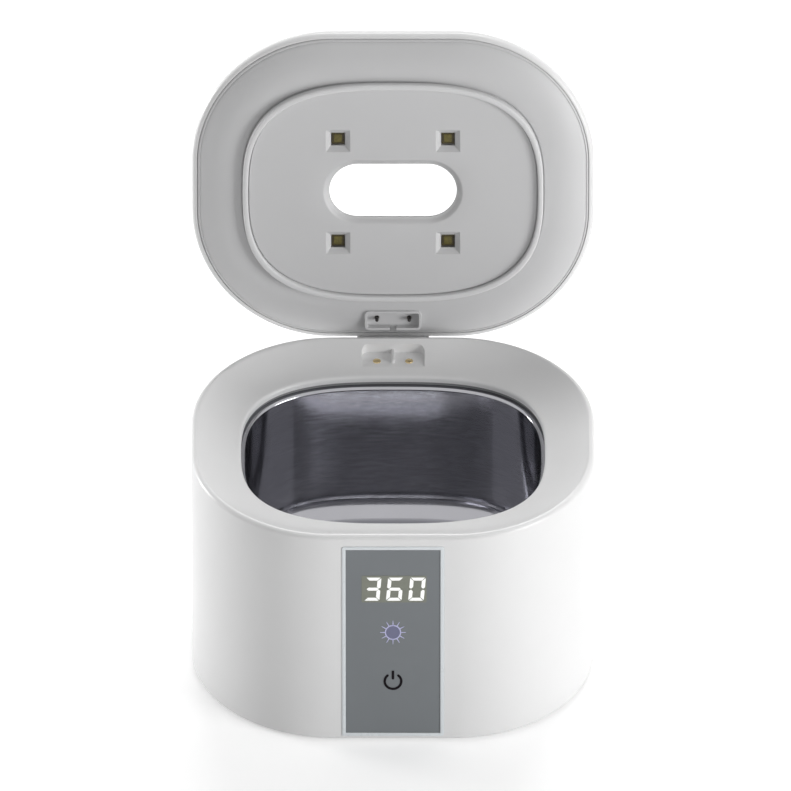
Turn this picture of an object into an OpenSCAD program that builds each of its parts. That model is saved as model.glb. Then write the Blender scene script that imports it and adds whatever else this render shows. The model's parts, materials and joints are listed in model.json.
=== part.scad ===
// Pacifier sterilizer case: a small ultrasonic bath with an ultraviolet lid hinged at the rear.
// Origin: centre of the base pad's underside. +Z is up and the front panel faces -Y.
// The lid is drawn open, resting on the stop of its hinge.

/* [Case] */
// Width of the case and of the lid
case_w = 112; // [106:1:124]
// Depth of the case and of the lid, front to rear
case_d = 93; // [90:1:104]
// Corner radius of the case seen from above
corner_r = 39.2; // [36:0.2:42]
// Height of the case from its lower edge to the rim
case_h = 70.6; // [68:0.2:80]
// Thickness of the case wall
wall = 2.4; // [2.2:0.1:2.8]
// Radius of the outer edge of the rim
rim_edge_r = 1.4; // [0.8:0.1:1.8]
// Radius of the lower outer edge
foot_edge_r = 1.0; // [0.6:0.1:1.5]

/* [Rim dish and mouth] */
// Width of the rim at the left and right
rim_side = 13.8; // [12.5:0.1:15]
// Width of the rim at the front and rear
rim_end = 13; // [12.4:0.1:14]
// Squareness of the mouth: 2 is an ellipse, larger is squarer
mouth_n = 2.84; // [2.4:0.02:3.4]
// Drop from the rim crest to the edge of the mouth
dish_drop = 4.7; // [4.4:0.1:5.4]
// Hollow of the dish below a straight slope
dish_sag = 0.8; // [0:0.1:1]
// Thickness of the deck at the mouth
deck_t = 1.8; // [1.6:0.1:2.4]

/* [Contact notch] */
// Width of the notch in the rear of the dish
notch_w = 17.5; // [16.8:0.1:20]
// Distance from the rear face to the back wall of the notch
notch_back = 2.8; // [2.7:0.1:3]
// Depth of the notch shelf below the rim
notch_drop = 3.9; // [3.8:0.1:4.4]
// Corner radius of the notch
notch_r = 2; // [1:0.1:2.5]
// Thickness of the locating rib
rib_t = 1; // [0.8:0.1:1.4]
// Length of the locating rib
rib_len = 5.2; // [4:0.1:5.6]
// Height of the locating rib
rib_h = 1.2; // [0.8:0.1:1.4]
// Distance between the two contacts
contact_pitch = 9; // [8:0.1:10]
// Distance of the contacts from the rear face
contact_back = 6.8; // [6.6:0.1:7]
// Diameter of a contact pad
pad_d = 2.2; // [1.8:0.1:2.6]
// Height of a contact pad above the shelf
pad_proud = 0.2; // [0.1:0.05:0.3]

/* [Front panel] */
// Width of the panel frame
panel_w = 28.3; // [26:0.1:31]
// Gap from the rim down to the panel frame
panel_top = 3.3; // [3:0.1:5]
// Gap from the case's lower edge up to the panel frame
panel_bottom = 1.3; // [1.2:0.1:4]
// Visible width of the panel frame
frame_w = 0.95; // [0.7:0.05:1.4]
// Depth of the recess that holds the panel
panel_recess = 1.4; // [1.1:0.05:1.5]
// How far the panel frame stands out of the case
frame_proud = 0.2; // [0.1:0.05:0.4]
// Corner radius of the panel frame
frame_corner_r = 0.5; // [0.3:0.1:1]
// Distance from the rim down to the middle of the digits
digits_drop = 18; // [16:0.2:20]
// Distance from the rim down to the light symbol
lamp_drop = 33.1; // [30:0.2:34]
// Distance from the rim down to the power key
key_drop = 50.2; // [44:0.2:52]

/* [Tank] */
// How far the tank wall stands inside the edge of the mouth
tank_inset = 1.2; // [1:0.1:2]
// Thickness of the tank sheet
tank_t = 0.8; // [0.6:0.1:1]
// Radius between the tank wall and its floor
tank_floor_r = 8; // [6:0.5:10]
// Radius of the lip between flange and wall
lip_r = 0.9; // [0.6:0.1:1.1]
// Width of the flange outside the edge of the mouth
flange_w = 3; // [2.5:0.1:3.4]
// Thickness of the tank gasket
gasket_t = 1.2; // [1:0.1:1.8]
// Distance from the gasket's inner edge back to the edge of the mouth
gasket_back = 0.3; // [0.2:0.1:0.6]
// Thickness of the clamp ring
clamp_t = 2.4; // [2:0.1:3]
// Width of the clamp ring outside the edge of the mouth
clamp_w = 7.6; // [7.4:0.1:8]
// Distance from the edge of the mouth to the clamp screws
clamp_screw_out = 5.2; // [5.1:0.05:5.3]

/* [Base] */
// Height of the room under the tank
engine_room = 17; // [16.4:0.1:19]
// Thickness of the base cover
base_t = 2.2; // [1.8:0.1:2.6]
// How far the base pad stands below the case
pad_stand = 0.8; // [0.5:0.1:1.2]
// Width of the base pad
base_pad_w = 74; // [66:1:78]
// Depth of the base pad
base_pad_d = 58; // [50:1:62]
// Corner radius of the base pad
base_pad_r = 24; // [18:1:26]
// Depth of the recess that holds the base pad
pad_recess = 0.7; // [0.5:0.1:1]
// Distance from the inside of the wall to the base screws
post_gap = 4.5; // [4.2:0.1:4.8]
// Angle of the base screws round the case's corners
post_angle = 48; // [44:1:50]
// Radius of a screw post
post_r = 3.2; // [2.8:0.1:3.4]
// Height of the screw posts
post_h = 30; // [20:1:40]

/* [Hinge] */
// Distance of the hinge axis behind the rear face
hinge_out = 0.5; // [0.45:0.05:0.65]
// Depth of the hinge axis below the rim
hinge_drop = 3.8; // [3.7:0.05:4]
// Radius of the lid's knuckle
knuckle_r = 2; // [1.9:0.05:2.05]
// Length of the lid's knuckle
knuckle_len = 20; // [16:0.5:22]
// Thickness of each case lug
lug_t = 5; // [4:0.1:5.4]
// Diameter of the hinge pin
pin_d = 2; // [1.6:0.1:2.2]
// Thickness of the hinge arm
arm_t = 2.3; // [2.1:0.05:2.4]
// Angle of the open lid from closed
lid_open = 102; // [95:1:110]

/* [Lid] */
// Height of the lid's widest line above its lower edge
lip_h = 1.2; // [1:0.1:1.6]
// Width of the lid's edge from the widest line in to the seam
lip_w = 1.4; // [1.3:0.1:1.6]
// Height of the lid above the rim
lid_h = 10; // [9.6:0.1:13]
// Inward reach of the lid's rounded shoulder
shoulder_w = 14; // [10:0.5:16]
// Thickness of the lid shell
lid_t = 1.9; // [1.6:0.1:2.2]
// Width of the outer window
outer_window_w = 50; // [44:1:56]
// Depth of the outer window
outer_window_d = 29; // [25:1:32]
// Thickness of the outer window
outer_window_t = 1.2; // [0.9:0.1:1.3]
// Width of the ledge under the outer window
window_ledge = 1.4; // [1:0.1:2]

/* [Lid liner] */
// Thickness of the liner
liner_t = 1.8; // [1.5:0.1:2]
// Drop of the liner from the seam to the valley beside the bead
valley_drop = 2.6; // [1.6:0.1:2.8]
// Bulge of the liner ring above a straight slope
ring_bulge = 1.2; // [1:0.1:1.5]
// Depth of the bead's crest below the seam
bead_drop = 5.3; // [4.2:0.1:5.4]
// Thickness of the bead
bead_t = 1.5; // [0.9:0.05:1.6]
// Depth of the liner floor below the seam
floor_drop = 3.8; // [3:0.1:3.9]
// Width of the collar round the lid contacts
collar_w = 15.8; // [15.2:0.1:16.2]
// Front to rear size of the collar
collar_d = 5.8; // [5.4:0.1:5.8]
// Wall of the collar
collar_t = 0.7; // [0.6:0.05:0.9]
// Corner radius of the collar
collar_r = 1.3; // [1.1:0.1:1.6]
// Depth of the collar's edge below the seam
collar_drop = 3.4; // [3.2:0.05:3.45]
// Depth of the pocket floor below the seam
pocket_drop = 1.2; // [1:0.1:1.4]
// Width of the slot for the locating rib
slot_w = 1.8; // [1.6:0.1:2.2]

/* [Ultraviolet light] */
// Side to side distance between the lamps
led_pitch_x = 30.6; // [28:0.2:34]
// Front to rear distance between the lamps
led_pitch_y = 31.2; // [29:0.2:34]
// Side of a lamp chip
led_w = 3.5; // [3:0.1:4]
// Thickness of a lamp chip
led_t = 1.2; // [0.8:0.1:1.4]
// Side of a reflector recess at the liner floor
funnel_w = 6.75; // [6:0.05:8]
// Depth of the sloped part of a reflector recess
funnel_h = 1.4; // [1:0.1:1.5]
// Width of the lamp board
uv_board_w = 64; // [60:1:68]
// Front to rear size of the lamp board
uv_board_d = 44; // [40:1:48]
// Thickness of every circuit board
board_t = 1.6; // [1.2:0.1:1.6]

/* [Inner window] */
// Width of the window in the liner
window_w = 35.5; // [32:0.5:40]
// Height of the window in the liner
window_d = 16.2; // [14:0.1:18]
// Width of the soft chamfer round the window
window_chamfer = 1.9; // [1:0.1:2.2]
// Depth of the chamfer
chamfer_h = 1.2; // [0.8:0.1:1.4]
// Overlap of the window pane behind the liner
pane_lap = 1.5; // [1:0.1:2]
// Thickness of the window pane
pane_t = 1.2; // [1:0.1:1.5]

/* [Contact pins] */
// Diameter of a spring pin
spring_pin_d = 1; // [0.8:0.1:1.2]
// Outer diameter of a pin sleeve
sleeve_d = 2.4; // [2:0.1:2.8]
// Length of a pin sleeve
sleeve_len = 5.6; // [5:0.1:6]
// Gap between pin tip and contact pad with the lid shut
pin_gap = 0.35; // [0.3:0.05:0.5]

/* [Electronics] */
// Diameter of the ultrasonic transducer
transducer_d = 34; // [28:1:38]
// Thickness of the ultrasonic transducer
transducer_t = 2.6; // [2:0.1:3.2]
// Width of the main board
main_board_w = 66; // [64:1:67]
// Front to rear size of the main board
main_board_d = 56; // [54:1:57]
// Gap from the rear wall to the main board
board_gap = 2.1; // [1.9:0.1:2.6]
// Size of the transformer across the case
transformer_w = 14; // [12:0.5:15]
// Size of the transformer from front to rear
transformer_d = 15; // [12:0.5:16]
// Height of the transformer's core
transformer_h = 9; // [7:0.2:9]
// Diameter of a storage capacitor
capacitor_d = 8; // [6:0.5:8.5]
// Height of a storage capacitor
capacitor_h = 10; // [7:0.5:10.5]
// Distance between heat sink fins
fin_pitch = 3.2; // [2.6:0.1:3.4]
// Height of the heat sink
sink_h = 5.9; // [5:0.1:7]
// Length of the heat sink
sink_d = 9; // [7:0.5:10]
// Side of the driver chip
chip_w = 8; // [6:0.5:9]
// Height of the main board above the base cover
standoff_h = 3; // [2.5:0.1:3.2]
// Width of the display board
display_board_w = 24; // [22:0.5:26]
// Distance from the panel recess back to the display board
display_depth = 6.6; // [6.2:0.1:7]
// Width of the digit display
digits_w = 20; // [18:0.5:21]
// Height of the digit display
digits_h = 9.5; // [9:0.5:9.5]
// Diameter of the power inlet's barrel opening
jack_bore = 5.6; // [5.2:0.1:6.2]
// Diameter of the power inlet's nose
jack_nose = 8; // [7.4:0.1:9]
// Height of the power inlet's axis above the main board
jack_axis = 5.5; // [5:0.1:6]

/* [Fits] */
// Gap round a panel, plate or pane that drops into a recess
fit = 0.1; // [0.05:0.01:0.15]
// Gap between the lid's bead and the mouth
bead_gap = 0.35; // [0.3:0.05:0.5]
// Running clearance of a pin in its bore
run = 0.05; // [0.03:0.01:0.08]
// Gap between the knuckle and the case
knuckle_gap = 0.35; // [0.25:0.05:0.4]
// Radius of a small screw's shank
screw_r = 0.9; // [0.7:0.05:1]
// Radius of a small screw's head
screw_head_r = 1.8; // [1.6:0.1:2]
// Height of a small screw's head
screw_head_h = 1.2; // [1:0.1:1.4]

/* [Hidden] */
$fn = 64;
LOOP = 72;
eps = 0.01;
shell_z = pad_stand;
rim_z = shell_z + case_h;
base_top = shell_z + base_t;
mouth_w = case_w - 2 * rim_side;
mouth_d = case_d - 2 * rim_end;
crest_in = rim_edge_r + 0.15;
gasket_top = rim_z - dish_drop - deck_t;
flange_top = gasket_top - gasket_t;
clamp_top = flange_top - tank_t;
tank_floor_z = base_top + engine_room;
rear_y = case_d / 2;
front_y = -case_d / 2;
contact_y = rear_y - contact_back;
shelf_z = rim_z - notch_drop;
hinge_y = rear_y + hinge_out;
hinge_z = rim_z - hinge_drop;
panel_h = case_h - panel_top - panel_bottom;
panel_z = shell_z + panel_bottom + panel_h / 2;
lens_w = panel_w - 2 * frame_w - 2 * fit;
lens_h = panel_h - 2 * frame_w - 2 * fit;
recess_y = front_y + panel_recess;
display_board_y = recess_y + display_depth;
display_board_top = clamp_top - clamp_t - 1.2;
display_board_z = base_top + 7;
main_board_z = base_top + standoff_h;
main_board_top = main_board_z + board_t;
main_board_y = case_d / 2 - wall - board_gap - main_board_d / 2;
main_board_front = main_board_y - main_board_d / 2;
base_screw_r = screw_r + 0.4;
base_screw_len = base_t + 8.2;
inlet_z = main_board_top + jack_axis;
clamp_angles = [0, 60, 120, 180, 240, 300];
bead_w = mouth_w - 2 * bead_gap;
bead_d = mouth_d - 2 * bead_gap;
seam_in = lip_w + fit;
rebate_h = 3.3;
rebate_angle = asin((rebate_h - lip_h) / (lid_h - lip_h - lid_t));
floor_top = liner_t - floor_drop;
uv_board_under = floor_top + fit + led_t;
uv_board_top = uv_board_under + board_t;
pin_tip = pad_proud + pin_gap - notch_drop;
sleeve_z = pocket_drop > 0.9 ? 0.6 - pocket_drop : -0.3;
uv_screw_x = uv_board_w / 2 - 4;
uv_screw_y = uv_board_d / 2 - 4;

// Distance from the centre to a superellipse with half sizes a and b at an angle
function oval_reach(angle, a, b) =
    pow(pow(abs(cos(angle)) / a, mouth_n) + pow(abs(sin(angle)) / b, mouth_n), -1 / mouth_n);

// Distance from the centre to a round-cornered rectangle with half sizes a and b at an angle
function rect_reach(angle, a, b, r) =
    let (c = abs(cos(angle)), s = abs(sin(angle)),
        along = c * (a - r) + s * (b - r),
        corner = along + sqrt(along * along - pow(a - r, 2) - pow(b - r, 2) + r * r))
    s * a <= c * (b - r) ? a / c : c * b <= s * (a - r) ? b / s : corner;

// Reach of the outline of the case moved inwards
function outline_reach(angle, inset) =
    rect_reach(angle, case_w / 2 - inset, case_d / 2 - inset, corner_r - inset);

// Reach of the mouth moved outwards
function mouth_reach(angle, out) = oval_reach(angle, mouth_w / 2 + out, mouth_d / 2 + out);

// Closed loops of points round the Z axis
function loop_at(reaches, z) =
    [for (i = [0:LOOP - 1]) [reaches[i] * cos(360 * i / LOOP), reaches[i] * sin(360 * i / LOOP), z]];
function outline_loop(inset) = [for (i = [0:LOOP - 1]) outline_reach(360 * i / LOOP, inset)];
function mouth_loop(out) = [for (i = [0:LOOP - 1]) mouth_reach(360 * i / LOOP, out)];
function mixed(first, second, share) = [for (i = [0:LOOP - 1]) first[i] + (second[i] - first[i]) * share];
function flat_loop(reaches) = [for (p = loop_at(reaches, 0)) [p[0], p[1]]];

// Depth of the dish and of the liner ring at a share of the way in from the edge
function dish_z(share) = -dish_drop * share - 4 * dish_sag * share * (1 - share);
function ring_z(share) = fit - (valley_drop + fit) * share - 4 * ring_bulge * share * (1 - share);

// Solid through a stack of loops, closed by flat ends
module loft(loops) {
    count = len(loops);
    sides = [for (j = [0:count - 2], i = [0:LOOP - 1])
        let (k = (i + 1) % LOOP, a = j * LOOP + i, b = j * LOOP + k, c = a + LOOP, d = b + LOOP)
        each [[a, c, d], [a, d, b]]];
    first = [for (i = [0:LOOP - 1]) i];
    last = [for (i = [0:LOOP - 1]) count * LOOP - 1 - i];
    polyhedron(points = [for (l = loops) each l], faces = concat([first], sides, [last]), convexity = 6);
}

// Flat ring between two loops
module loop_ring(outer, inner, z, h) {
    translate([0, 0, z]) linear_extrude(h) difference() {
        polygon(flat_loop(outer));
        polygon(flat_loop(inner));
    }
}

// Round-cornered rectangle
module rounded(w, d, r) {
    square([w - 2 * r, d], center = true);
    square([w, d - 2 * r], center = true);
    for (x = [-1, 1], y = [-1, 1]) translate([x * (w / 2 - r), y * (d / 2 - r)]) circle(r);
}

// Slot shape with round ends
module stadium(w, d) {
    square([w - d, d], center = true);
    for (x = [-1, 1]) translate([x * (w - d) / 2, 0]) circle(d / 2);
}

// Solid with the case's outline whose edge follows the child profile.
// The profile runs in X from a corner's centre out to corner_r.
module outlined() {
    straight_x = case_w - 2 * corner_r;
    straight_y = case_d - 2 * corner_r;
    for (q = [0:3]) {
        sx = q == 0 || q == 3 ? 1 : -1;
        sy = q < 2 ? 1 : -1;
        translate([sx * straight_x / 2, sy * straight_y / 2, 0])
            rotate([0, 0, 90 * q]) rotate_extrude(angle = 90) children();
    }
    for (s = [-1, 1]) {
        translate([s * straight_x / 2, 0, 0]) rotate([0, 0, s > 0 ? 0 : 180])
            rotate([90, 0, 0]) linear_extrude(straight_y, center = true) children();
        translate([0, s * straight_y / 2, 0]) rotate([0, 0, s * 90])
            rotate([90, 0, 0]) linear_extrude(straight_x, center = true) children();
    }
}

// Bar whose profile is drawn in Y and Z and which is centred on X
module bar(len_x) {
    rotate([90, 0, 90]) linear_extrude(len_x, center = true) children();
}

// Flat lead of a width and thickness that runs through a list of [y, z] points
function unit(v) = v / norm(v);
function side_of(p, i) = let (d = unit(p[i + 1] - p[i])) [-d[1], d[0]];
function bend_of(p, i) = i == 0 ? side_of(p, 0) : i == len(p) - 1 ? side_of(p, i - 1)
    : let (n = unit(side_of(p, i - 1) + side_of(p, i))) n / (n * side_of(p, i));
module lead(points, w, t) {
    last = len(points) - 1;
    bar(w) polygon(concat([for (i = [0:last]) points[i] + bend_of(points, i) * t / 2],
        [for (i = [last:-1:0]) points[i] - bend_of(points, i) * t / 2]));
}

// Screw standing head down, with its head seated at the origin and its shank pointing up
module screw(shank_len, head_r = screw_head_r, head_h = screw_head_h, r = screw_r) {
    difference() {
        translate([0, 0, -head_h]) cylinder(h = head_h, r = head_r);
        for (a = [0, 90]) rotate([0, 0, a]) translate([0, 0, -head_h])
            cube([head_r * 1.3, 0.4, 1], center = true);
    }
    translate([0, 0, -0.3]) cylinder(h = shank_len + 0.3, r = r);
}

// Puts what is drawn on the closed lid, with Z = 0 at the parting plane, into its open place
module on_lid() {
    translate([0, hinge_y, hinge_z]) rotate([-lid_open, 0, 0]) translate([0, -hinge_y, hinge_drop])
        children();
}

module at_clamp_screws() {
    for (a = clamp_angles) {
        reach = mouth_reach(a, clamp_screw_out);
        translate([reach * cos(a), reach * sin(a), 0]) children();
    }
}

module at_posts() {
    reach = corner_r - wall - post_gap;
    for (x = [-1, 1], y = [-1, 1])
        translate([x * (case_w / 2 - corner_r), y * (case_d / 2 - corner_r), 0])
            rotate([0, 0, x * y * post_angle + (x < 0 ? 180 : 0)]) translate([reach, 0, 0]) children();
}

module at_board_screws() {
    for (x = [-1, 1], y = [-1, 1])
        translate([x * (main_board_w / 2 - 5), main_board_y + y * (main_board_d / 2 - 5), 0]) children();
}

module at_display_screws() {
    for (x = [-1, 1], z = [display_board_z + 3.5, rim_z - digits_drop - digits_h / 2 - 3.5])
        translate([x * (display_board_w / 2 - 2.6), 0, z]) children();
}

module at_lamps() {
    for (x = [-1, 1], y = [-1, 1]) translate([x * led_pitch_x / 2, y * led_pitch_y / 2, 0]) children();
}

module at_contacts() {
    for (x = [-1, 1]) translate([x * contact_pitch / 2, contact_y, 0]) children();
}

// Edge profile of the case with a rounded rim and a rounded lower edge
module case_edge() {
    square([corner_r - rim_edge_r, case_h]);
    translate([0, foot_edge_r]) square([corner_r, case_h - rim_edge_r - foot_edge_r]);
    square([corner_r - foot_edge_r, case_h - rim_edge_r]);
    translate([corner_r - rim_edge_r, case_h - rim_edge_r]) circle(rim_edge_r);
    translate([corner_r - foot_edge_r, foot_edge_r]) circle(foot_edge_r);
}

// Lugs beside the lid's knuckle and the stop ledge below it
module hinge_mount() {
    lug_r = knuckle_r + 0.2;
    stop_gap = knuckle_r + 0.15;
    ledge_out = 4;
    tilt = 90 - lid_open;
    ledge_z = function (y) -(stop_gap + sin(-tilt) * y) / cos(tilt);
    for (s = [-1, 1]) translate([s * (knuckle_len + lug_t + 0.6) / 2, hinge_y, hinge_z]) bar(lug_t) {
        circle(lug_r);
        polygon([[-hinge_out - 1, lug_r], [0, lug_r], [lug_r, 0], [lug_r, -lug_r], [-hinge_out - 1, -6.5]]);
    }
    translate([0, hinge_y, hinge_z]) bar(knuckle_len + 2 * lug_t + 0.6)
        polygon([[-hinge_out - 1, ledge_z(-hinge_out - 1)], [ledge_out, ledge_z(ledge_out)],
            [ledge_out, ledge_z(ledge_out) - 1], [-hinge_out, -8.5], [-hinge_out - 1, -8.5]]);
}

// Space swept by the dish and the mouth
module dish_cutter() {
    edge = outline_loop(crest_in);
    mouth = mouth_loop(0);
    loft(concat(
        [loop_at(mouth, gasket_top - 1), loop_at(mouth, rim_z - dish_drop - 0.5)],
        [for (share = [0.96:-0.16:0]) loop_at(mixed(edge, mouth, share), rim_z + dish_z(share))],
        [loop_at(edge, rim_z + 1)]));
}

// Notch in the rear of the dish, open towards the mouth
module notch_cutter() {
    reach = rim_end - notch_back;
    translate([0, rear_y - notch_back - reach / 2, shelf_z]) linear_extrude(notch_drop + 1) {
        rounded(notch_w, reach, notch_r);
        translate([0, -reach / 4 - 1]) square([notch_w, reach / 2 + 2], center = true);
    }
}

module case_shell() {
    color("whitesmoke") difference() {
        union() {
            difference() {
                translate([0, 0, shell_z]) {
                    outlined() case_edge();
                    translate([0, 0, case_h / 2])
                        cube([case_w - 2 * corner_r, case_d - 2 * corner_r, case_h], center = true);
                }
                translate([0, 0, shell_z - 1]) linear_extrude(gasket_top - shell_z + 1)
                    rounded(case_w - 2 * wall, case_d - 2 * wall, corner_r - wall);
            }
            hinge_mount();
            at_clamp_screws() translate([0, 0, clamp_top]) cylinder(h = gasket_top - clamp_top + 1, r = 1.9);
            at_posts() translate([0, 0, base_top]) {
                cylinder(h = post_h, r = post_r);
                translate([0, -1, 0]) cube([post_gap + wall / 2, 2, post_h]);
            }
            at_display_screws() translate([0, front_y + wall - 0.5, 0]) rotate([-90, 0, 0])
                cylinder(h = display_board_y - front_y - wall + 0.5, r = 2);
        }
        dish_cutter();
        notch_cutter();
        at_contacts() translate([0, 0, gasket_top - 1]) cylinder(h = 10, r = pad_d / 2 + 0.02);
        translate([0, hinge_y, hinge_z]) rotate([0, 90, 0]) {
            cylinder(h = knuckle_len + 0.6, r = knuckle_r + knuckle_gap, center = true);
            cylinder(h = knuckle_len + 2 * lug_t + 2, r = pin_d / 2 + 0.02, center = true);
        }
        translate([0, front_y, panel_z]) rotate([90, 0, 0])
            translate([0, 0, -panel_recess]) linear_extrude(5) rounded(panel_w, panel_h, frame_corner_r);
        translate([0, front_y, rim_z - digits_drop])
            cube([digits_w + 2 * fit, 4 * wall, digits_h + 2 * fit], center = true);
        for (drop = [lamp_drop, key_drop]) translate([0, front_y, rim_z - drop])
            rotate([90, 0, 0]) cylinder(h = 4 * wall, r = 4.6, center = true);
        translate([0, rear_y, inlet_z]) rotate([90, 0, 0])
            cylinder(h = 4 * wall, r = jack_nose / 2 + fit, center = true);
        at_clamp_screws() translate([0, 0, clamp_top - 1])
            cylinder(h = gasket_top - clamp_top + 1, r = screw_r + 0.02);
        at_posts() translate([0, 0, base_top - 1])
            cylinder(h = base_screw_len + 2.6, r = base_screw_r + 0.02);
        at_display_screws() translate([0, display_board_y + 1, 0]) rotate([90, 0, 0])
            cylinder(h = 6, r = screw_r + 0.02);
    }
    color("whitesmoke") translate([0, rear_y - notch_back - rib_len / 2 + 0.2, shelf_z + rib_h / 2 - 0.1])
        cube([rib_t, rib_len + 0.4, rib_h + 0.2], center = true);
}

module panel_frame() {
    color("lightsteelblue") translate([0, front_y + panel_recess, panel_z]) rotate([90, 0, 0])
        linear_extrude(panel_recess + frame_proud) difference() {
            rounded(panel_w - 2 * fit, panel_h - 2 * fit, frame_corner_r);
            square([lens_w + 2 * fit, lens_h + 2 * fit], center = true);
        }
}

module panel_lens() {
    color("slategray") translate([0, recess_y - panel_recess / 2, panel_z])
        cube([lens_w, panel_recess, lens_h], center = true);
}

module digit_display() {
    depth = display_depth - fit;
    color("lightyellow") translate([0, display_board_y - depth / 2, rim_z - digits_drop])
        cube([digits_w, depth, digits_h], center = true);
}

module display_board() {
    height = display_board_top - display_board_z;
    color("seagreen") difference() {
        translate([-display_board_w / 2, display_board_y, display_board_z])
            cube([display_board_w, board_t, height]);
        at_display_screws() translate([0, display_board_y + 3, 0]) rotate([90, 0, 0])
            cylinder(h = 6, r = screw_r + fit);
    }
    color("white") translate([0, display_board_y, rim_z - lamp_drop]) rotate([90, 0, 0])
        cylinder(h = 2.2, r = 1.5);
}

module display_screws() {
    color("silver") at_display_screws() translate([0, display_board_y + board_t, 0])
        rotate([90, 0, 0]) screw(board_t + 3.4);
}

module touch_pad() {
    color("dimgray") translate([0, display_board_y, rim_z - key_drop]) rotate([90, 0, 0])
        cylinder(h = display_depth - fit, r = 3.8);
}

// One pressed sheet: floor, wall, lip and flange
module tank() {
    inner = -tank_inset;
    outer = inner + tank_t;
    floor_in = tank_floor_z + tank_t;
    steps = [0:30:90];
    color("silver") loft(concat(
        [for (a = steps) loop_at(mouth_loop(outer - tank_floor_r * (1 - sin(a))),
            tank_floor_z + tank_floor_r * (1 - cos(a)))],
        [loop_at(mouth_loop(outer), flange_top - tank_t - 0.1),
            loop_at(mouth_loop(outer + 0.1), flange_top - tank_t),
            loop_at(mouth_loop(flange_w), flange_top - tank_t),
            loop_at(mouth_loop(flange_w), flange_top)],
        [for (a = steps)
            loop_at(mouth_loop(inner + lip_r * (1 - sin(a))), flange_top - lip_r * (1 - cos(a)))],
        [for (a = [90:-30:0]) loop_at(mouth_loop(inner - (tank_floor_r - tank_t) * (1 - sin(a))),
            floor_in + (tank_floor_r - tank_t) * (1 - cos(a)))]));
}

module tank_gasket() {
    color("gray") loop_ring(mouth_loop(flange_w), mouth_loop(gasket_back), flange_top, gasket_t);
}

module tank_clamp() {
    color("gainsboro") difference() {
        loop_ring(mouth_loop(clamp_w), mouth_loop(tank_t - tank_inset + 0.3), clamp_top - clamp_t, clamp_t);
        at_clamp_screws() translate([0, 0, clamp_top - clamp_t - 1])
            cylinder(h = clamp_t + 2, r = screw_r + fit);
    }
}

module clamp_screws() {
    color("silver") at_clamp_screws() translate([0, 0, clamp_top - clamp_t])
        screw(clamp_t + gasket_top - clamp_top - 0.5);
}

module transducer() {
    color("burlywood") translate([0, 0, tank_floor_z - transducer_t])
        cylinder(h = transducer_t, d = transducer_d);
    color("silver") for (x = [-1, 1])
        translate([x * transducer_d / 4, 0, tank_floor_z - transducer_t - 0.5]) cylinder(h = 0.6, r = 2);
}

module transducer_leads() {
    top = tank_floor_z - transducer_t - 0.5;
    y = main_board_front + 4.2;
    color("firebrick") for (s = [-1, 1]) translate([s * transducer_d / 4, 0, 0])
        lead([[0, top], [0, top - 1.6], [-0.8, top - 2.6], [-3, top - 3.2], [y + 1.8, top - 4.6],
            [y + 0.4, top - 5.6], [y, top - 7], [y, main_board_top]], 1.2, 0.8);
}

module main_board() {
    color("darkgreen") difference() {
        translate([0, main_board_y, main_board_z]) linear_extrude(board_t)
            rounded(main_board_w, main_board_d, 10);
        at_board_screws() translate([0, 0, main_board_z - 1]) cylinder(h = board_t + 2, r = screw_r + fit);
    }
}

module board_screws() {
    color("silver") at_board_screws() translate([0, 0, main_board_top]) rotate([180, 0, 0])
        screw(board_t + standoff_h - 0.4);
}

// Ferrite core with its winding bobbin
module transformer() {
    foot_t = transformer_h * 0.09;
    yoke_d = transformer_d * 0.27;
    winding = [transformer_w * 0.72, transformer_d - 1.8 * yoke_d, transformer_h * 0.82];
    translate([transformer_w / 2 + 2 - main_board_w / 2, main_board_y, main_board_top]) {
        color("dimgray") for (y = [-1, 1])
            translate([0, y * (transformer_d - yoke_d) / 2, foot_t + transformer_h / 2])
                cube([transformer_w, yoke_d, transformer_h], center = true);
        color("goldenrod") translate([0, 0, foot_t + transformer_h / 2]) cube(winding, center = true);
        color("black") translate([0, 0, foot_t / 2])
            cube([transformer_w * 0.93, transformer_d * 0.93, foot_t], center = true);
    }
}

module capacitors() {
    for (y = [-1, 0.4]) translate([main_board_w / 2 - 9, main_board_y + y * capacitor_d, main_board_top]) {
        color("darkslateblue") rotate_extrude() difference() {
            square([capacitor_d / 2, capacitor_h]);
            translate([capacitor_d * 0.54, capacitor_h * 0.16]) circle(capacitor_d * 0.075);
        }
    }
}

module heat_sink() {
    fins = 5;
    fin_t = fin_pitch * 0.36;
    plate_t = sink_h * 0.25;
    width = fin_pitch * (fins - 1) + fin_t;
    translate([main_board_w / 2 - 8 - width, main_board_front + 3.5, main_board_top])
        color("darkgray") {
            cube([width, sink_d, plate_t]);
            for (i = [0:fins - 1]) translate([i * fin_pitch, 0, 0]) cube([fin_t, sink_d, sink_h]);
        }
}

module board_chips() {
    front = main_board_front;
    rear = main_board_y + main_board_d / 2;
    driver = [chip_w, chip_w * 0.75, chip_w * 0.2];
    logic = [chip_w * 0.62, chip_w * 0.5, chip_w * 0.18];
    coil = [chip_w * 0.75, chip_w * 0.75, chip_w * 0.4];
    color("black") {
        translate([-chip_w * 1.3, front + chip_w * 1.1, main_board_top]) cube(driver);
        translate([-chip_w * 2.6, front + chip_w * 1.1, main_board_top]) cube(logic);
        for (s = [-1, 1]) translate([s * chip_w * 1.9 - coil[0] / 2, rear - chip_w * 1.6, main_board_top])
            cube(coil);
    }
}

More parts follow.
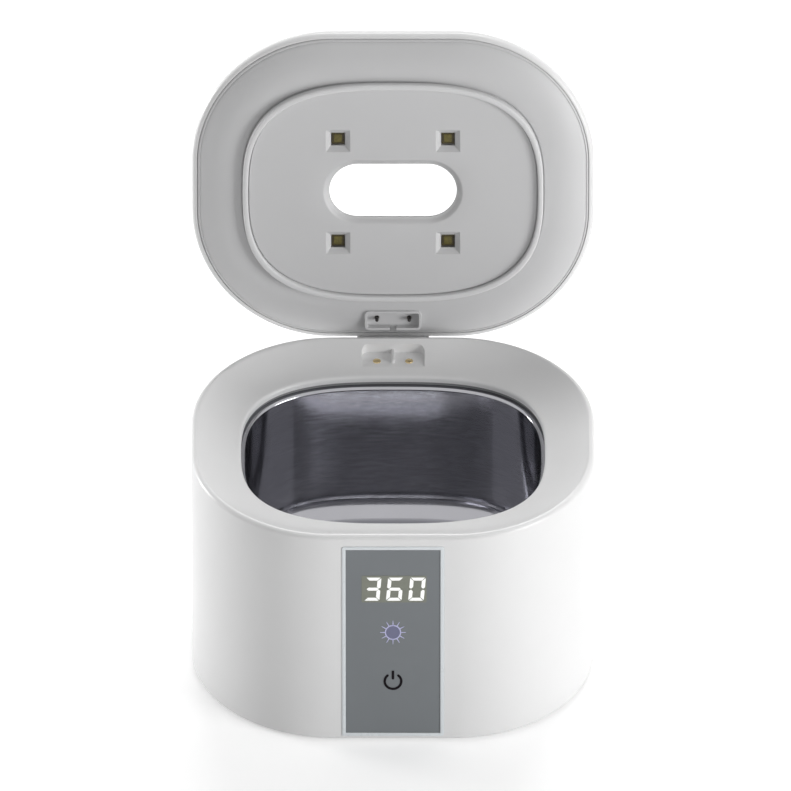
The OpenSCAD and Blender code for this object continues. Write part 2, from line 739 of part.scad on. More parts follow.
// Flat cable from the foot of the display board to the front of the main board
module display_cable() {
    y0 = display_board_y + board_t;
    y1 = main_board_front + 6;
    z0 = display_board_z + 6;
    z1 = main_board_top + 1.6;
    color("white") lead([[y0, z0], [y0 + 0.5, z0], [y0 + 1.3, z0 - 1.4], [y0 + 1.6, z1 + 2],
        [y0 + 2.4, z1 + 0.6], [y0 + 4, z1], [y1 - 1, z1], [y1, z1 - 0.6], [y1, main_board_top]], 10, 0.5);
}

// Barrel socket with its centre contact
module power_inlet() {
    body = [jack_nose + 1, jack_nose * 1.6, jack_axis + jack_nose / 2 + 0.7];
    body_y = rear_y - wall - body[1];
    color("black") difference() {
        union() {
            translate([-body[0] / 2, body_y, main_board_top]) cube(body);
            translate([0, rear_y - 0.3, inlet_z]) rotate([90, 0, 0]) cylinder(h = wall, d = jack_nose);
        }
        translate([0, rear_y, inlet_z]) rotate([90, 0, 0]) cylinder(h = 11, d = jack_bore);
    }
    color("silver") translate([0, rear_y - 1.6, inlet_z]) rotate([90, 0, 0]) cylinder(h = 10, r = 1);
}

module contact_block() {
    color("ivory") difference() {
        translate([-contact_pitch / 2 - 3, contact_y - 2.3, clamp_top])
            cube([contact_pitch + 6, 4.6, gasket_top - clamp_top]);
        at_contacts() translate([0, 0, clamp_top + 0.6]) cylinder(h = 10, r = pad_d / 2 + 0.02);
    }
}

module contact_pads() {
    color("gold") at_contacts() translate([0, 0, clamp_top + 0.6])
        cylinder(h = shelf_z + pad_proud - clamp_top - 0.6, d = pad_d);
}

module contact_leads() {
    wire_t = 0.6;
    y = rear_y - wall - wire_t / 2 - 0.6;
    x = contact_pitch / 2 + 1.8;
    color("crimson") for (s = [-1, 1]) translate([s * x, 0, 0])
        lead([[contact_y + 2.3, clamp_top + 1.2], [y - 0.4, clamp_top + 1.2], [y, clamp_top + 0.6],
            [y, main_board_top + 6], [y - 0.6, main_board_top + 4.6], [y - 2.6, main_board_top + 3.4],
            [y - 3.2, main_board_top + 2.2], [y - 3.2, main_board_top]], 1, wire_t);
}

// Plate that closes the case from below, with standoffs, a locating lip and air slots
module base_cover() {
    plate_w = case_w - 2 * wall - 4 * fit;
    plate_d = case_d - 2 * wall - 4 * fit;
    plate_r = corner_r - wall - 2 * fit;
    lip_t = 1.4;
    color("gainsboro") difference() {
        union() {
            translate([0, 0, shell_z]) linear_extrude(base_t) rounded(plate_w, plate_d, plate_r);
            translate([0, 0, base_top - eps]) linear_extrude(1.6) difference() {
                rounded(plate_w, plate_d, plate_r);
                rounded(plate_w - 2 * lip_t, plate_d - 2 * lip_t, plate_r - lip_t);
                at_posts() circle(post_r + wall + 1);
            }
            at_board_screws() translate([0, 0, base_top - eps]) cylinder(h = standoff_h + eps, r = 2.4);
        }
        translate([0, 0, shell_z - 1]) linear_extrude(pad_recess + 1)
            rounded(base_pad_w + 2 * fit, base_pad_d + 2 * fit, base_pad_r);
        at_posts() {
            translate([0, 0, shell_z - 1]) cylinder(h = base_t + 3, r = base_screw_r + fit);
            translate([0, 0, shell_z - 1]) cylinder(h = 2.3, r = 2 * base_screw_r + 0.4);
        }
        at_board_screws() translate([0, 0, base_top + 0.2]) cylinder(h = standoff_h + 1, r = screw_r + 0.02);
        for (s = [-1, 1], i = [-2:2]) translate([s * (base_pad_w / 2 + 6), i * 5, shell_z - 1])
            linear_extrude(5) stadium(7, 1.6);
    }
}

module base_screws() {
    color("silver") at_posts() translate([0, 0, shell_z + 1.3])
        screw(base_screw_len, 2 * base_screw_r, 1.2, base_screw_r);
}

module base_pad() {
    color("darkgray") linear_extrude(pad_stand + pad_recess) rounded(base_pad_w, base_pad_d, base_pad_r);
}

module hinge_pin() {
    color("silver") translate([0, hinge_y, hinge_z]) rotate([0, 90, 0])
        cylinder(h = knuckle_len + 2 * lug_t, d = pin_d, center = true);
}

// Height and inset of the lid's outer face at an angle up its shoulder
function shoulder(a, grow) = [corner_r - shoulder_w + (shoulder_w - grow) * cos(a),
    lip_h + (lid_h - lip_h - grow) * sin(a)];

// Section of the lid shell from a corner's centre out to its edge
module lid_section() {
    polygon(concat(
        [[corner_r - lip_w, 0], [corner_r - lip_w * 0.6, 0.12 * lip_h],
            [corner_r - lip_w * 0.2, 0.5 * lip_h]],
        [for (a = [0:9:90]) shoulder(a, 0)],
        [[0, lid_h], [0, lid_h - lid_t]],
        [for (a = [90:-9:27]) shoulder(a, lid_t)],
        [shoulder(rebate_angle, lid_t), [corner_r - lip_w, rebate_h]]));
}

module lid_shell() {
    color("lightgray") on_lid() difference() {
        union() {
            outlined() lid_section();
            translate([0, 0, lid_h - lid_t / 2])
                cube([case_w - 2 * corner_r, case_d - 2 * corner_r, lid_t], center = true);
            translate([0, hinge_y, -hinge_drop]) bar(knuckle_len) {
                circle(knuckle_r);
                polygon([[knuckle_r - arm_t, 0], [knuckle_r, 0], [knuckle_r, hinge_drop + 3.4],
                    [knuckle_r - 1.2, hinge_drop + 4.6], [-hinge_out - 1.2, hinge_drop + 4.6],
                    [-hinge_out - 1.2, hinge_drop + 2.4], [knuckle_r - arm_t, hinge_drop + 0.5]]);
            }
        }
        translate([0, 0, lid_h - outer_window_t]) linear_extrude(3)
            stadium(outer_window_w + 2 * fit, outer_window_d + 2 * fit);
        translate([0, 0, lid_h - 5]) linear_extrude(8)
            stadium(outer_window_w - 2 * window_ledge, outer_window_d - 2 * window_ledge);
        translate([0, hinge_y, -hinge_drop]) rotate([0, 90, 0])
            cylinder(h = knuckle_len + 2, r = pin_d / 2 + run, center = true);
    }
}

module outer_window() {
    color("lightcyan") on_lid() translate([0, 0, lid_h - outer_window_t]) linear_extrude(outer_window_t)
        stadium(outer_window_w, outer_window_d);
}

// Opening with a sloped edge towards the tank
module window_cutter() {
    translate([0, 0, -floor_drop - 1]) linear_extrude(liner_t + 2) stadium(window_w, window_d);
    translate([0, 0, -floor_drop]) {
        for (x = [-1, 1]) translate([x * (window_w - window_d) / 2, 0, 0])
            cylinder(h = chamfer_h, r1 = window_d / 2 + window_chamfer, r2 = window_d / 2);
        bar(window_w - window_d) polygon([[-window_d / 2 - window_chamfer, 0],
            [window_d / 2 + window_chamfer, 0], [window_d / 2, chamfer_h], [-window_d / 2, chamfer_h]]);
    }
}

// Square recess that narrows to the lamp chip
module funnel_cutter() {
    throat = led_w + 0.4;
    translate([0, 0, -floor_drop - eps]) rotate([0, 0, 45])
        cylinder(h = funnel_h + eps, r1 = funnel_w / sqrt(2), r2 = throat / sqrt(2), $fn = 4);
    translate([0, 0, -floor_drop / 2]) cube([throat, throat, floor_drop], center = true);
}

module liner_skin() {
    edge = outline_loop(seam_in);
    inner_edge = outline_loop(seam_in + liner_t);
    bead = mouth_loop(-bead_gap);
    bead_in = mouth_loop(-bead_gap - bead_t);
    back = mouth_loop(-bead_gap - bead_t - 0.6);
    loft(concat(
        [loop_at(bead_in, -floor_drop), loop_at(bead_in, -bead_drop + 0.25),
            loop_at(mixed(bead_in, bead, 0.25), -bead_drop), loop_at(mixed(bead_in, bead, 0.75), -bead_drop),
            loop_at(bead, -bead_drop + 0.25)],
        [for (share = [1:-0.125:0]) loop_at(mixed(edge, bead, share), ring_z(share))],
        [loop_at(edge, rebate_h), loop_at(mixed(edge, inner_edge, 0.6), rebate_h)],
        [for (share = [0:0.25:1]) loop_at(mixed(inner_edge, back, share), ring_z(share) + liner_t)],
        [loop_at(mixed(inner_edge, back, 1.02), floor_top)]));
}

// Collar and pocket for the spring pins
module collar_block() {
    translate([0, contact_y, -collar_drop]) linear_extrude(collar_drop + 2.6)
        rounded(collar_w, collar_d, collar_r);
}

module lid_liner() {
    color("gainsboro") on_lid() difference() {
        union() {
            liner_skin();
            collar_block();
            for (x = [-1, 1], y = [-1, 1]) translate([x * uv_screw_x, y * uv_screw_y, floor_top - 0.2])
                cylinder(h = uv_board_under - floor_top + 0.2, r = 2.2);
        }
        window_cutter();
        at_lamps() funnel_cutter();
        translate([0, contact_y, -collar_drop - 1]) linear_extrude(collar_drop - pocket_drop + 1)
            rounded(collar_w - 2 * collar_t, collar_d - 2 * collar_t, collar_r - collar_t);
        translate([0, contact_y + collar_d / 2, -collar_drop])
            cube([slot_w, 2.4, 2 * (collar_drop - pocket_drop - 0.5)], center = true);
        at_contacts() {
            translate([0, 0, -collar_drop]) cylinder(h = 8, r = spring_pin_d / 2 + 0.15);
            translate([0, 0, sleeve_z]) cylinder(h = 8, r = sleeve_d / 2 + 0.02);
        }
        for (x = [-1, 1], y = [-1, 1]) translate([x * uv_screw_x, y * uv_screw_y, floor_top - 0.6])
            cylinder(h = 6, r = screw_r + 0.02);
    }
}

module inner_window() {
    color("lightcyan") on_lid() translate([0, 0, floor_top]) linear_extrude(pane_t)
        stadium(window_w + 2 * pane_lap, window_d + 2 * pane_lap);
}

module uv_board() {
    color("white") on_lid() translate([0, 0, uv_board_under]) linear_extrude(board_t) difference() {
        rounded(uv_board_w, uv_board_d, 4);
        stadium(window_w + 8, window_d + 8);
        for (x = [-1, 1], y = [-1, 1]) translate([x * uv_screw_x, y * uv_screw_y]) circle(screw_r + fit);
    }
}

// Ceramic chip packages, each with a raised lens window
module uv_lamps() {
    on_lid() at_lamps() {
        color("darkkhaki") translate([0, 0, uv_board_under - led_t / 2 + 0.1])
            cube([led_w, led_w, led_t - 0.2], center = true);
        color("gold") translate([0, 0, uv_board_under - led_t]) cylinder(h = 0.3, r = led_w * 0.34);
    }
}

module uv_board_screws() {
    color("silver") on_lid() for (x = [-1, 1], y = [-1, 1])
        translate([x * uv_screw_x, y * uv_screw_y, uv_board_top]) rotate([180, 0, 0])
            screw(board_t + led_t + 0.4);
}

module pin_sleeves() {
    color("gold") on_lid() at_contacts() translate([0, 0, sleeve_z]) difference() {
        cylinder(h = sleeve_len, d = sleeve_d);
        translate([0, 0, -1]) cylinder(h = sleeve_len + 0.4, r = spring_pin_d / 2 + run);
    }
}

module lid_leads() {
    top = sleeve_z + sleeve_len;
    edge_y = uv_board_d / 2;
    color("crimson") on_lid() for (s = [-1, 1]) translate([s * contact_pitch / 2, 0, 0])
        lead([[contact_y, top], [contact_y, top + 0.4], [contact_y - 0.6, top + 1], [contact_y - 2, top + 1],
            [contact_y - 6, top + 0.6], [edge_y + 1, top - 0.6], [edge_y - 1.4, top - 1.6],
            [edge_y - 2, top - 2.4], [edge_y - 2, uv_board_top]], 1, 0.6);
}

// Spring pin with a round tip
module spring_pin(side) {
    r = spring_pin_d / 2;
    color("goldenrod") on_lid() translate([side * contact_pitch / 2, contact_y, pin_tip + r]) {
        sphere(r);
        cylinder(h = 5, r = r);
    }
}

module contact_pin_left() {
    spring_pin(-1);
}

module contact_pin_right() {
    spring_pin(1);
}

case_shell();
panel_frame();
panel_lens();
digit_display();
display_board();
display_screws();
touch_pad();
tank();
tank_gasket();
tank_clamp();
clamp_screws();
transducer();
transducer_leads();
main_board();
board_screws();
transformer();
capacitors();
heat_sink();
board_chips();
display_cable();
power_inlet();
contact_block();
contact_pads();
contact_leads();
base_cover();
base_screws();
base_pad();
hinge_pin();
lid_shell();
outer_window();
lid_liner();
inner_window();
uv_board();
uv_lamps();
uv_board_screws();
pin_sleeves();
lid_leads();
contact_pin_left();
contact_pin_right();
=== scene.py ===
"""Pacifier sterilizer case with its lid open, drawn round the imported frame.

Sizes are in millimetres until a mesh is made. Lid pieces are drawn on the closed lid, with z = 0 at the
parting plane, and turned with it about the hinge.
"""

import json
import math

import bmesh
import bpy
from mathutils import Matrix, Vector


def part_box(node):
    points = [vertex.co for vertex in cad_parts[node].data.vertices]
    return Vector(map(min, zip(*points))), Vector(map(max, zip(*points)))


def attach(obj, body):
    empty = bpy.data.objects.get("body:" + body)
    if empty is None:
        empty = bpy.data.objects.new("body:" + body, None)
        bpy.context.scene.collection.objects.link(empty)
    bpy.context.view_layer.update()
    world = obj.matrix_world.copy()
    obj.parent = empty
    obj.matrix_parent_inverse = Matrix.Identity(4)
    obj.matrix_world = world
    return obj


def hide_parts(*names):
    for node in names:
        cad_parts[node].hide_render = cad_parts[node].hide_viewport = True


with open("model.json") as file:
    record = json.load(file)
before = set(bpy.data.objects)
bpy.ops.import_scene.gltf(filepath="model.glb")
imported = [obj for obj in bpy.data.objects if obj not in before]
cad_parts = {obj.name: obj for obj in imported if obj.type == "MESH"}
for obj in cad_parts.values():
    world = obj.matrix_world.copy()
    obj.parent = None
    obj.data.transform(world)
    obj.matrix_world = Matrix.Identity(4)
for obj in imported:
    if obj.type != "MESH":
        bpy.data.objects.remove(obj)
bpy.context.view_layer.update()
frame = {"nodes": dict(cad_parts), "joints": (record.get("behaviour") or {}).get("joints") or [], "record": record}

MM = 0.001
SIDES = 240  # points round each moulded outline
ROUND_STEPS = 48  # points round a small circle
BORE_STEPS = 64  # points round a bore
SHARP = 32  # degrees between faces that keep their crease
SHARP_JOINED = 40
SHARP_BEVELLED = 50


# Sizes read from the frame


def box_mm(node):
    low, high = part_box(node)
    return low / MM, high / MM


shell_low, shell_high = box_mm("case_shell")
CASE_W = shell_high.x - shell_low.x
FRONT_Y = shell_low.y
REAR_Y = -FRONT_Y
CASE_D = 2 * REAR_Y
SHELL_Z = shell_low.z
RIM_Z = shell_high.z
hinge = frame["joints"][0]
HINGE = Vector(hinge["pos_m"]) / MM
LID_OPEN = math.radians(hinge["range_deg"][1])
HINGE_DROP = RIM_Z - HINGE.z
HINGE_OUT = HINGE.y - REAR_Y

# Sizes shared with the solids

CORNER_R = 39.2
WALL = 2.4
RIM_EDGE_R = 1.4
FOOT_EDGE_R = 1.0
MOUTH_HALF = Vector((42.2, 33.5))
MOUTH_N = 2.84
CREST_IN = 1.55
DISH_DROP = 4.7
DISH_SAG = 0.8
MOUTH_EDGE_R = 0.9
DECK_T = 1.8
GASKET_T = 1.2
TANK_INSET = 1.2
TANK_T = 0.8
TANK_FLOOR_R = 8.0
LIP_R = 0.9
NOTCH_W = 17.5
NOTCH_BACK = 2.8
NOTCH_DROP = 3.9
CONTACT_PITCH = 9.0
CONTACT_BACK = 6.8
PANEL_RECESS = 1.4
KNUCKLE_R = 2.0
KNUCKLE_LEN = 20.0
KNUCKLE_GAP = 0.35
LUG_T = 5.0
ARM_T = 2.3
LIP_W = 1.4
LIP_H = 1.2
LID_H = 10.0
SHOULDER_W = 14.0
LID_T = 1.9
REBATE_H = 3.3
LINER_T = 1.8
VALLEY_DROP = 2.6
RING_BULGE = 1.2
BEAD_GAP = 0.35
BEAD_T = 1.5
BEAD_DROP = 5.3
FLOOR_DROP = 3.8
BEAD_GROOVE = 0.3
COLLAR_SIZE = Vector((15.8, 5.8))
COLLAR_T = 0.7
COLLAR_R = 1.3
COLLAR_DROP = 3.4
POCKET_DROP = 1.2
LAMP_PITCH = Vector((30.6, 31.2))
LAMP_W = 3.5
FUNNEL_W = 6.75
FUNNEL_H = 1.4
WINDOW_HALF = Vector((17.75, 8.1))
WINDOW_CHAMFER = 1.9
OUTER_WINDOW_HALF = Vector((25.1, 14.6))
DECK_UNDER = RIM_Z - DISH_DROP - DECK_T
LUG_INNER_X = KNUCKLE_LEN / 2 + 0.3
LINER_INSET = LIP_W + 0.1

# Sizes of the case's detail

DISH_STEPS = 17
DISH_END = 0.94  # share of the dish's slope where the rounding of the mouth starts
DISH_STEP = 0.03
CUT = 2.0  # how far a cutter stands past what it cuts
NOTCH_PAST = 6.0  # how far the notch's cutter runs over the mouth
NOTCH_R = 2.0
RECESS_GAP = 0.1
RECESS_R = 0.5
INLET_MID = 5.5
INLET_BORE_R = 4.1
INLET_BORE_IN = 3.0
RIB_SIZE = (1.0, 5.4)
RIB_R = 0.35
RIB_BACK = 2.4
RIB_SINK = 0.3
RIB_H = 1.2
LUG_GROW = 0.2
LUG_IN = 1.0
LUG_FOOT = 6.5
MOUNT_EDGE = 0.35
LEDGE_GAP = 0.15
LEDGE_OUT = 4.0
LEDGE_T = 1.0
LEDGE_FOOT = 8.5
FLANGE_OUT = 3.0  # how far the tank's flange and the gasket reach past the mouth
TANK_NECK = 0.3
GASKET_EDGE = ((0.6, 0.0), (0.38, 0.15), (0.3, 0.5))  # reach past the mouth, and depth from the face
BEZEL_GROW = 0.16
BEZEL_R = 0.55
BEZEL_FIT = 0.06
BEZEL_EDGE = 0.16
CONTACT_CROWN = ((1.1, 0.12), (1.02, 0.03), (0.9, 0.0))  # radius, and depth from the top

# Sizes of the lid's detail

LID_CLEAR = 0.03  # what the lid's lowest edge clears the rim by
LIP_CURVE = ((0.6, 0.12), (0.32, 0.34), (0.13, 0.62))  # shares of the lip's width and height
PANE_DROP = 1.2
PANE_LEDGE = 1.5
ARM_BACK_TOP = 3.4
ARM_TOP = 4.6
ARM_SLOPE = 1.2
ARM_IN = 1.2
ARM_UNDER = 2.4
ARM_FRONT = 0.5
PIN_BORE_R = 1.05
RING_TOP = 0.1
RING_STEPS = 20
RING_END = 0.965
RING_SHIFT = 0.012
# The small lip round the liner, as inset from its edge and height
EDGE_LIP = (
    (0.95, -0.34), (0.78, -0.12), (0.66, -0.1), (0.52, -0.22), (0.38, -0.16), (0.24, -0.08), (0.1, 0.02),
)
EDGE_TOP = 0.35
BEAD_SEAT = 0.5  # depth of the slot that the bead stands in
BEAD_FOOT = 0.55
BEAD_R = 0.45
BEAD_CROWN = 0.08
WINDOW_EDGE_H = 1.2
COLLAR_ROOT = 2.6
SLOT_SIZE = (1.8, 2.4)
SLOT_DEEPER = 0.5
PIN_HOLE_R = 0.65
LAMP_BEHIND = 0.1  # gap between the liner and the lamps
LAMP_EDGE = 0.08
DIE_W = 2.3


# Outlines, as distances from the centre at even angles


def angles():
    return [2 * math.pi * i / SIDES for i in range(SIDES)]


def oval(half_x, half_y):
    n = MOUTH_N
    return [(abs(math.cos(t) / half_x) ** n + abs(math.sin(t) / half_y) ** n) ** (-1 / n) for t in angles()]


def round_rect(half_x, half_y, r):
    out = []
    for t in angles():
        c, s = abs(math.cos(t)), abs(math.sin(t))
        cx, cy = half_x - r, half_y - r
        if s * half_x <= c * cy:
            out.append(half_x / c)
        elif c * half_y <= s * cx:
            out.append(half_y / s)
        else:
            along = c * cx + s * cy
            out.append(along + math.sqrt(max(along * along - cx * cx - cy * cy + r * r, 0)))
    return out


def outline(inset):
    return round_rect(CASE_W / 2 - inset, CASE_D / 2 - inset, CORNER_R - inset)


def mouth(out=0.0):
    return oval(MOUTH_HALF.x + out, MOUTH_HALF.y + out)


def stadium(half, out=0.0):
    return round_rect(half.x + out, half.y + out, half.y + out - 0.01)


def mix(a, b, share):
    return [p + (q - p) * share for p, q in zip(a, b)]


def arc(steps, start=0.0, end=90.0):
    return [math.radians(start + (end - start) * i / steps) for i in range(steps + 1)]


# Mesh building


def place(points, moved):
    m = moved if moved else Matrix.Identity(4)
    return [(m @ Vector(p)) * MM for p in points]


def add_object(name, points, faces, moved=None):
    mesh = bpy.data.meshes.new(name)
    mesh.from_pydata(place(points, moved), [], faces)
    obj = bpy.data.objects.new(name, mesh)
    bpy.context.scene.collection.objects.link(obj)
    tidy(obj)
    return obj


def tidy(obj, sharp=SHARP):
    """Turn the normals outwards and shade smooth, apart from sharp edges."""
    bm = bmesh.new()
    bm.from_mesh(obj.data)
    bmesh.ops.recalc_face_normals(bm, faces=bm.faces)
    for f in bm.faces:
        f.smooth = True
    bm.to_mesh(obj.data)
    bm.free()
    obj.data.set_sharp_from_angle(angle=math.radians(sharp))


def sweep(name, rings, moved=None, closed=True, caps=False):
    """Skin through rings of (reaches, z), joined back to the first ring if closed."""
    points, faces = [], []
    ts = angles()
    for reaches, z in rings:
        points += [(r * math.cos(t), r * math.sin(t), z) for r, t in zip(reaches, ts)]
    count = len(rings)
    for j in range(count if closed else count - 1):
        k = (j + 1) % count
        for i in range(SIDES):
            n = (i + 1) % SIDES
            faces.append((j * SIDES + i, j * SIDES + n, k * SIDES + n, k * SIDES + i))
    if caps:
        faces.append(tuple(range(SIDES)))
        faces.append(tuple((count - 1) * SIDES + i for i in range(SIDES)))
    return add_object(name, points, faces, moved)


def prism(name, profile, low, high, axis="z", moved=None):
    """Solid with a flat profile pushed along an axis; on x the profile is (y, z)."""
    at = {
        "z": lambda p, h: (p[0], p[1], h),
        "y": lambda p, h: (p[0], h, p[1]),
        "x": lambda p, h: (h, p[0], p[1]),
    }[axis]
    n = len(profile)
    points = [at(p, low) for p in profile] + [at(p, high) for p in profile]
    faces = [tuple(range(n)), tuple(range(n, 2 * n))]
    faces += [(i, (i + 1) % n, n + (i + 1) % n, n + i) for i in range(n)]
    return add_object(name, points, faces, moved)


def polar(centre, r, a):
    return centre[0] + r * math.cos(a), centre[1] + r * math.sin(a)


def rect_profile(w, d, r, centre=(0, 0), steps=8):
    out = []
    for q, (sx, sy) in enumerate(((1, 1), (-1, 1), (-1, -1), (1, -1))):
        corner = (centre[0] + sx * (w / 2 - r), centre[1] + sy * (d / 2 - r))
        out += [polar(corner, r, a) for a in arc(steps, 90 * q, 90 * q + 90)]
    return out


def circle_profile(r, centre=(0, 0), steps=ROUND_STEPS):
    return [polar(centre, r, 2 * math.pi * i / steps) for i in range(steps)]


def lathe(name, profile, moved=None):
    """Solid of revolution about z through (radius, z) points; ends on the axis are closed."""
    points, faces, rows = [], [], []
    for r, z in profile:
        count = ROUND_STEPS if r > 0 else 1
        rows.append([len(points) + i for i in range(count)])
        points += [(x, y, z) for x, y in circle_profile(r, steps=count)]
    for a, b in zip(rows, rows[1:]):
        for i in range(ROUND_STEPS):
            k = (i + 1) % ROUND_STEPS
            if len(a) == 1:
                faces.append((a[0], b[i], b[k]))
            elif len(b) == 1:
                faces.append((a[i], a[k], b[0]))
            else:
                faces.append((a[i], a[k], b[k], b[i]))
    return add_object(name, points, faces, moved)


def bake_modifiers(obj):
    """Make the mesh that the modifiers give the object's own."""
    graph = bpy.context.evaluated_depsgraph_get()
    mesh = bpy.data.meshes.new_from_object(obj.evaluated_get(graph))
    obj.modifiers.clear()
    obj.data = mesh


def combine(obj, other, operation):
    mod = obj.modifiers.new("cut", "BOOLEAN")
    mod.operation = operation
    mod.solver = "EXACT"
    mod.object = other
    bpy.context.view_layer.update()
    bake_modifiers(obj)
    obj.data.name = obj.name
    bpy.data.objects.remove(other)
    tidy(obj)


def bevel(obj, width, angle=30):
    mod = obj.modifiers.new("edge", "BEVEL")
    mod.width = width * MM
    mod.segments = 3
    mod.limit_method = "ANGLE"
    mod.angle_limit = math.radians(angle)
    mod.use_clamp_overlap = True
    bake_modifiers(obj)
    tidy(obj, SHARP_BEVELLED)
    return obj


def join(name, objects):
    bm = bmesh.new()
    for o in objects:
        bm.from_mesh(o.data)
    mesh = bpy.data.meshes.new(name)
    bm.to_mesh(mesh)
    bm.free()
    for o in objects:
        bpy.data.objects.remove(o)
    obj = bpy.data.objects.new(name, mesh)
    bpy.context.scene.collection.objects.link(obj)
    mesh.set_sharp_from_angle(angle=math.radians(SHARP_JOINED))
    return obj


# The turn from the closed lid to the open one
OPEN = (Matrix.Translation(HINGE) @ Matrix.Rotation(-LID_OPEN, 4, "X")
        @ Matrix.Translation(Vector((0, -HINGE.y, HINGE_DROP))))


# Materials


def node(tree, kind, **values):
    n = tree.nodes.new(kind)
    for key, value in values.items():
        if key in n.inputs:
            n.inputs[key].default_value = value
        else:
            setattr(n, key, value)
    return n


def noise(tree, scale, detail=3.0, stretch=None):
    coords = node(tree, "ShaderNodeTexCoord")
    source = coords.outputs["Object"]
    if stretch:
        mapping = node(tree, "ShaderNodeMapping")
        mapping.inputs["Scale"].default_value = stretch
        tree.links.new(source, mapping.inputs["Vector"])
        source = mapping.outputs["Vector"]
    n = node(tree, "ShaderNodeTexNoise", Scale=scale, Detail=detail, Roughness=0.55)
    tree.links.new(source, n.inputs["Vector"])
    return n.outputs["Fac"]


def ranged(tree, source, low, high):
    n = node(tree, "ShaderNodeMapRange")
    n.inputs["From Min"].default_value = 0.3
    n.inputs["From Max"].default_value = 0.7
    n.inputs["To Min"].default_value = low
    n.inputs["To Max"].default_value = high
    tree.links.new(source, n.inputs["Value"])
    return n.outputs["Result"]


def material(name, color, roughness, vary=0.03, rough_vary=0.05, tone_scale=60.0, grain_scale=2600.0,
             grain=0.012, edge=0.0, stretch=None, metallic=0.0, **sockets):
    """Principled material with drifting tone, uneven gloss, a fine surface grain and softened edges.

    The grain's depth and the edges' radius are in millimetres. A socket's name has _ for each space.
    """
    mat = bpy.data.materials.new(name)
    mat.use_nodes = True
    tree = mat.node_tree
    shader = tree.nodes["Principled BSDF"]
    tone = node(tree, "ShaderNodeMix", data_type="RGBA")
    tone.inputs["A"].default_value = [c * (1 - vary) for c in color] + [1]
    tone.inputs["B"].default_value = [min(1, c * (1 + vary)) for c in color] + [1]
    tree.links.new(ranged(tree, noise(tree, tone_scale), 0, 1), tone.inputs["Factor"])
    tree.links.new(tone.outputs["Result"], shader.inputs["Base Color"])
    gloss = noise(tree, tone_scale * 4, 4, stretch)
    rough = ranged(tree, gloss, roughness - rough_vary, roughness + rough_vary)
    tree.links.new(rough, shader.inputs["Roughness"])
    normal = None
    if edge:
        soft = node(tree, "ShaderNodeBevel", samples=6)
        soft.inputs["Radius"].default_value = edge * MM
        normal = soft.outputs["Normal"]
    if grain:
        bump = node(tree, "ShaderNodeBump", Strength=0.35, Distance=grain * MM)
        tree.links.new(noise(tree, grain_scale, 2, stretch), bump.inputs["Height"])
        if normal:
            tree.links.new(normal, bump.inputs["Normal"])
        normal = bump.outputs["Normal"]
    if normal:
        tree.links.new(normal, shader.inputs["Normal"])
    shader.inputs["Metallic"].default_value = metallic
    for key, value in sockets.items():
        shader.inputs[key.replace("_", " ")].default_value = value
    return mat


def glow(name, color, strength):
    mat = material(name, color, 0.35, vary=0.02, rough_vary=0.03, grain=0)
    shader = mat.node_tree.nodes["Principled BSDF"]
    shader.inputs["Emission Color"].default_value = [*color, 1]
    shader.inputs["Emission Strength"].default_value = strength
    return mat


MOULDED = {"vary": 0.008, "rough_vary": 0.012}  # the even tone and gloss of the white mouldings
CASE_WHITE = material("case_white", (0.80, 0.80, 0.80), 0.34, edge=0.25, Coat_Weight=0.12,
                      Coat_Roughness=0.16, **MOULDED)
LID_WHITE = material("lid_white", (0.80, 0.80, 0.80), 0.32, edge=0.2, Coat_Weight=0.15,
                     Coat_Roughness=0.14, **MOULDED)
# Painted shade: the liner is the same white plastic as the lid's shell, given a grey colour that stands for the
# shade on the lid's inner face.
LINER_WHITE_PAINTED_SHADE = material("liner_white", (0.62, 0.62, 0.625), 0.42, edge=0.22, grain=0.015, **MOULDED)
# Painted shade and highlight: the bead is the liner's white plastic; its grey stands for shade, set lighter than
# the liner's for the light on its crest.
BEAD_PAINTED_SHADE_AND_HIGHLIGHT = material("bead_painted_shade_and_highlight", (0.72, 0.72, 0.725), 0.5, edge=0.12, grain=0.01, **MOULDED)
STEEL = material("tank_steel", (0.42, 0.42, 0.445), 0.13, vary=0.03, rough_vary=0.04, metallic=1.0,
                 grain=0.006, grain_scale=900, stretch=(1, 1, 6))
SEAL = material("seal_grey", (0.22, 0.225, 0.23), 0.6, vary=0.05, grain=0.02)
FRAME_WHITE = material("panel_frame", (0.76, 0.80, 0.825), 0.3, vary=0.01, edge=0.15)
LENS = material("panel_lens", (0.20, 0.215, 0.227), 0.30, vary=0.015, rough_vary=0.02, grain=0, edge=0.1,
                Specular_IOR_Level=0.3)
PANE = material("clear_pane", (1.0, 1.0, 1.0), 0.02, vary=0.0, rough_vary=0.01, grain=0,
                Transmission_Weight=1.0, IOR=1.2)
DISPLAY = material("display", (0.62, 0.62, 0.56), 0.4, edge=0.1)
BOARD = material("board_green", (0.03, 0.16, 0.07), 0.4, vary=0.15, tone_scale=300, grain=0.03)
BOARD_WHITE = material("board_white", (0.72, 0.72, 0.70), 0.35, vary=0.05, tone_scale=300, grain=0.02)
GOLD = material("contact_gold", (0.70, 0.56, 0.32), 0.30, metallic=1.0, grain=0.004, edge=0.06)
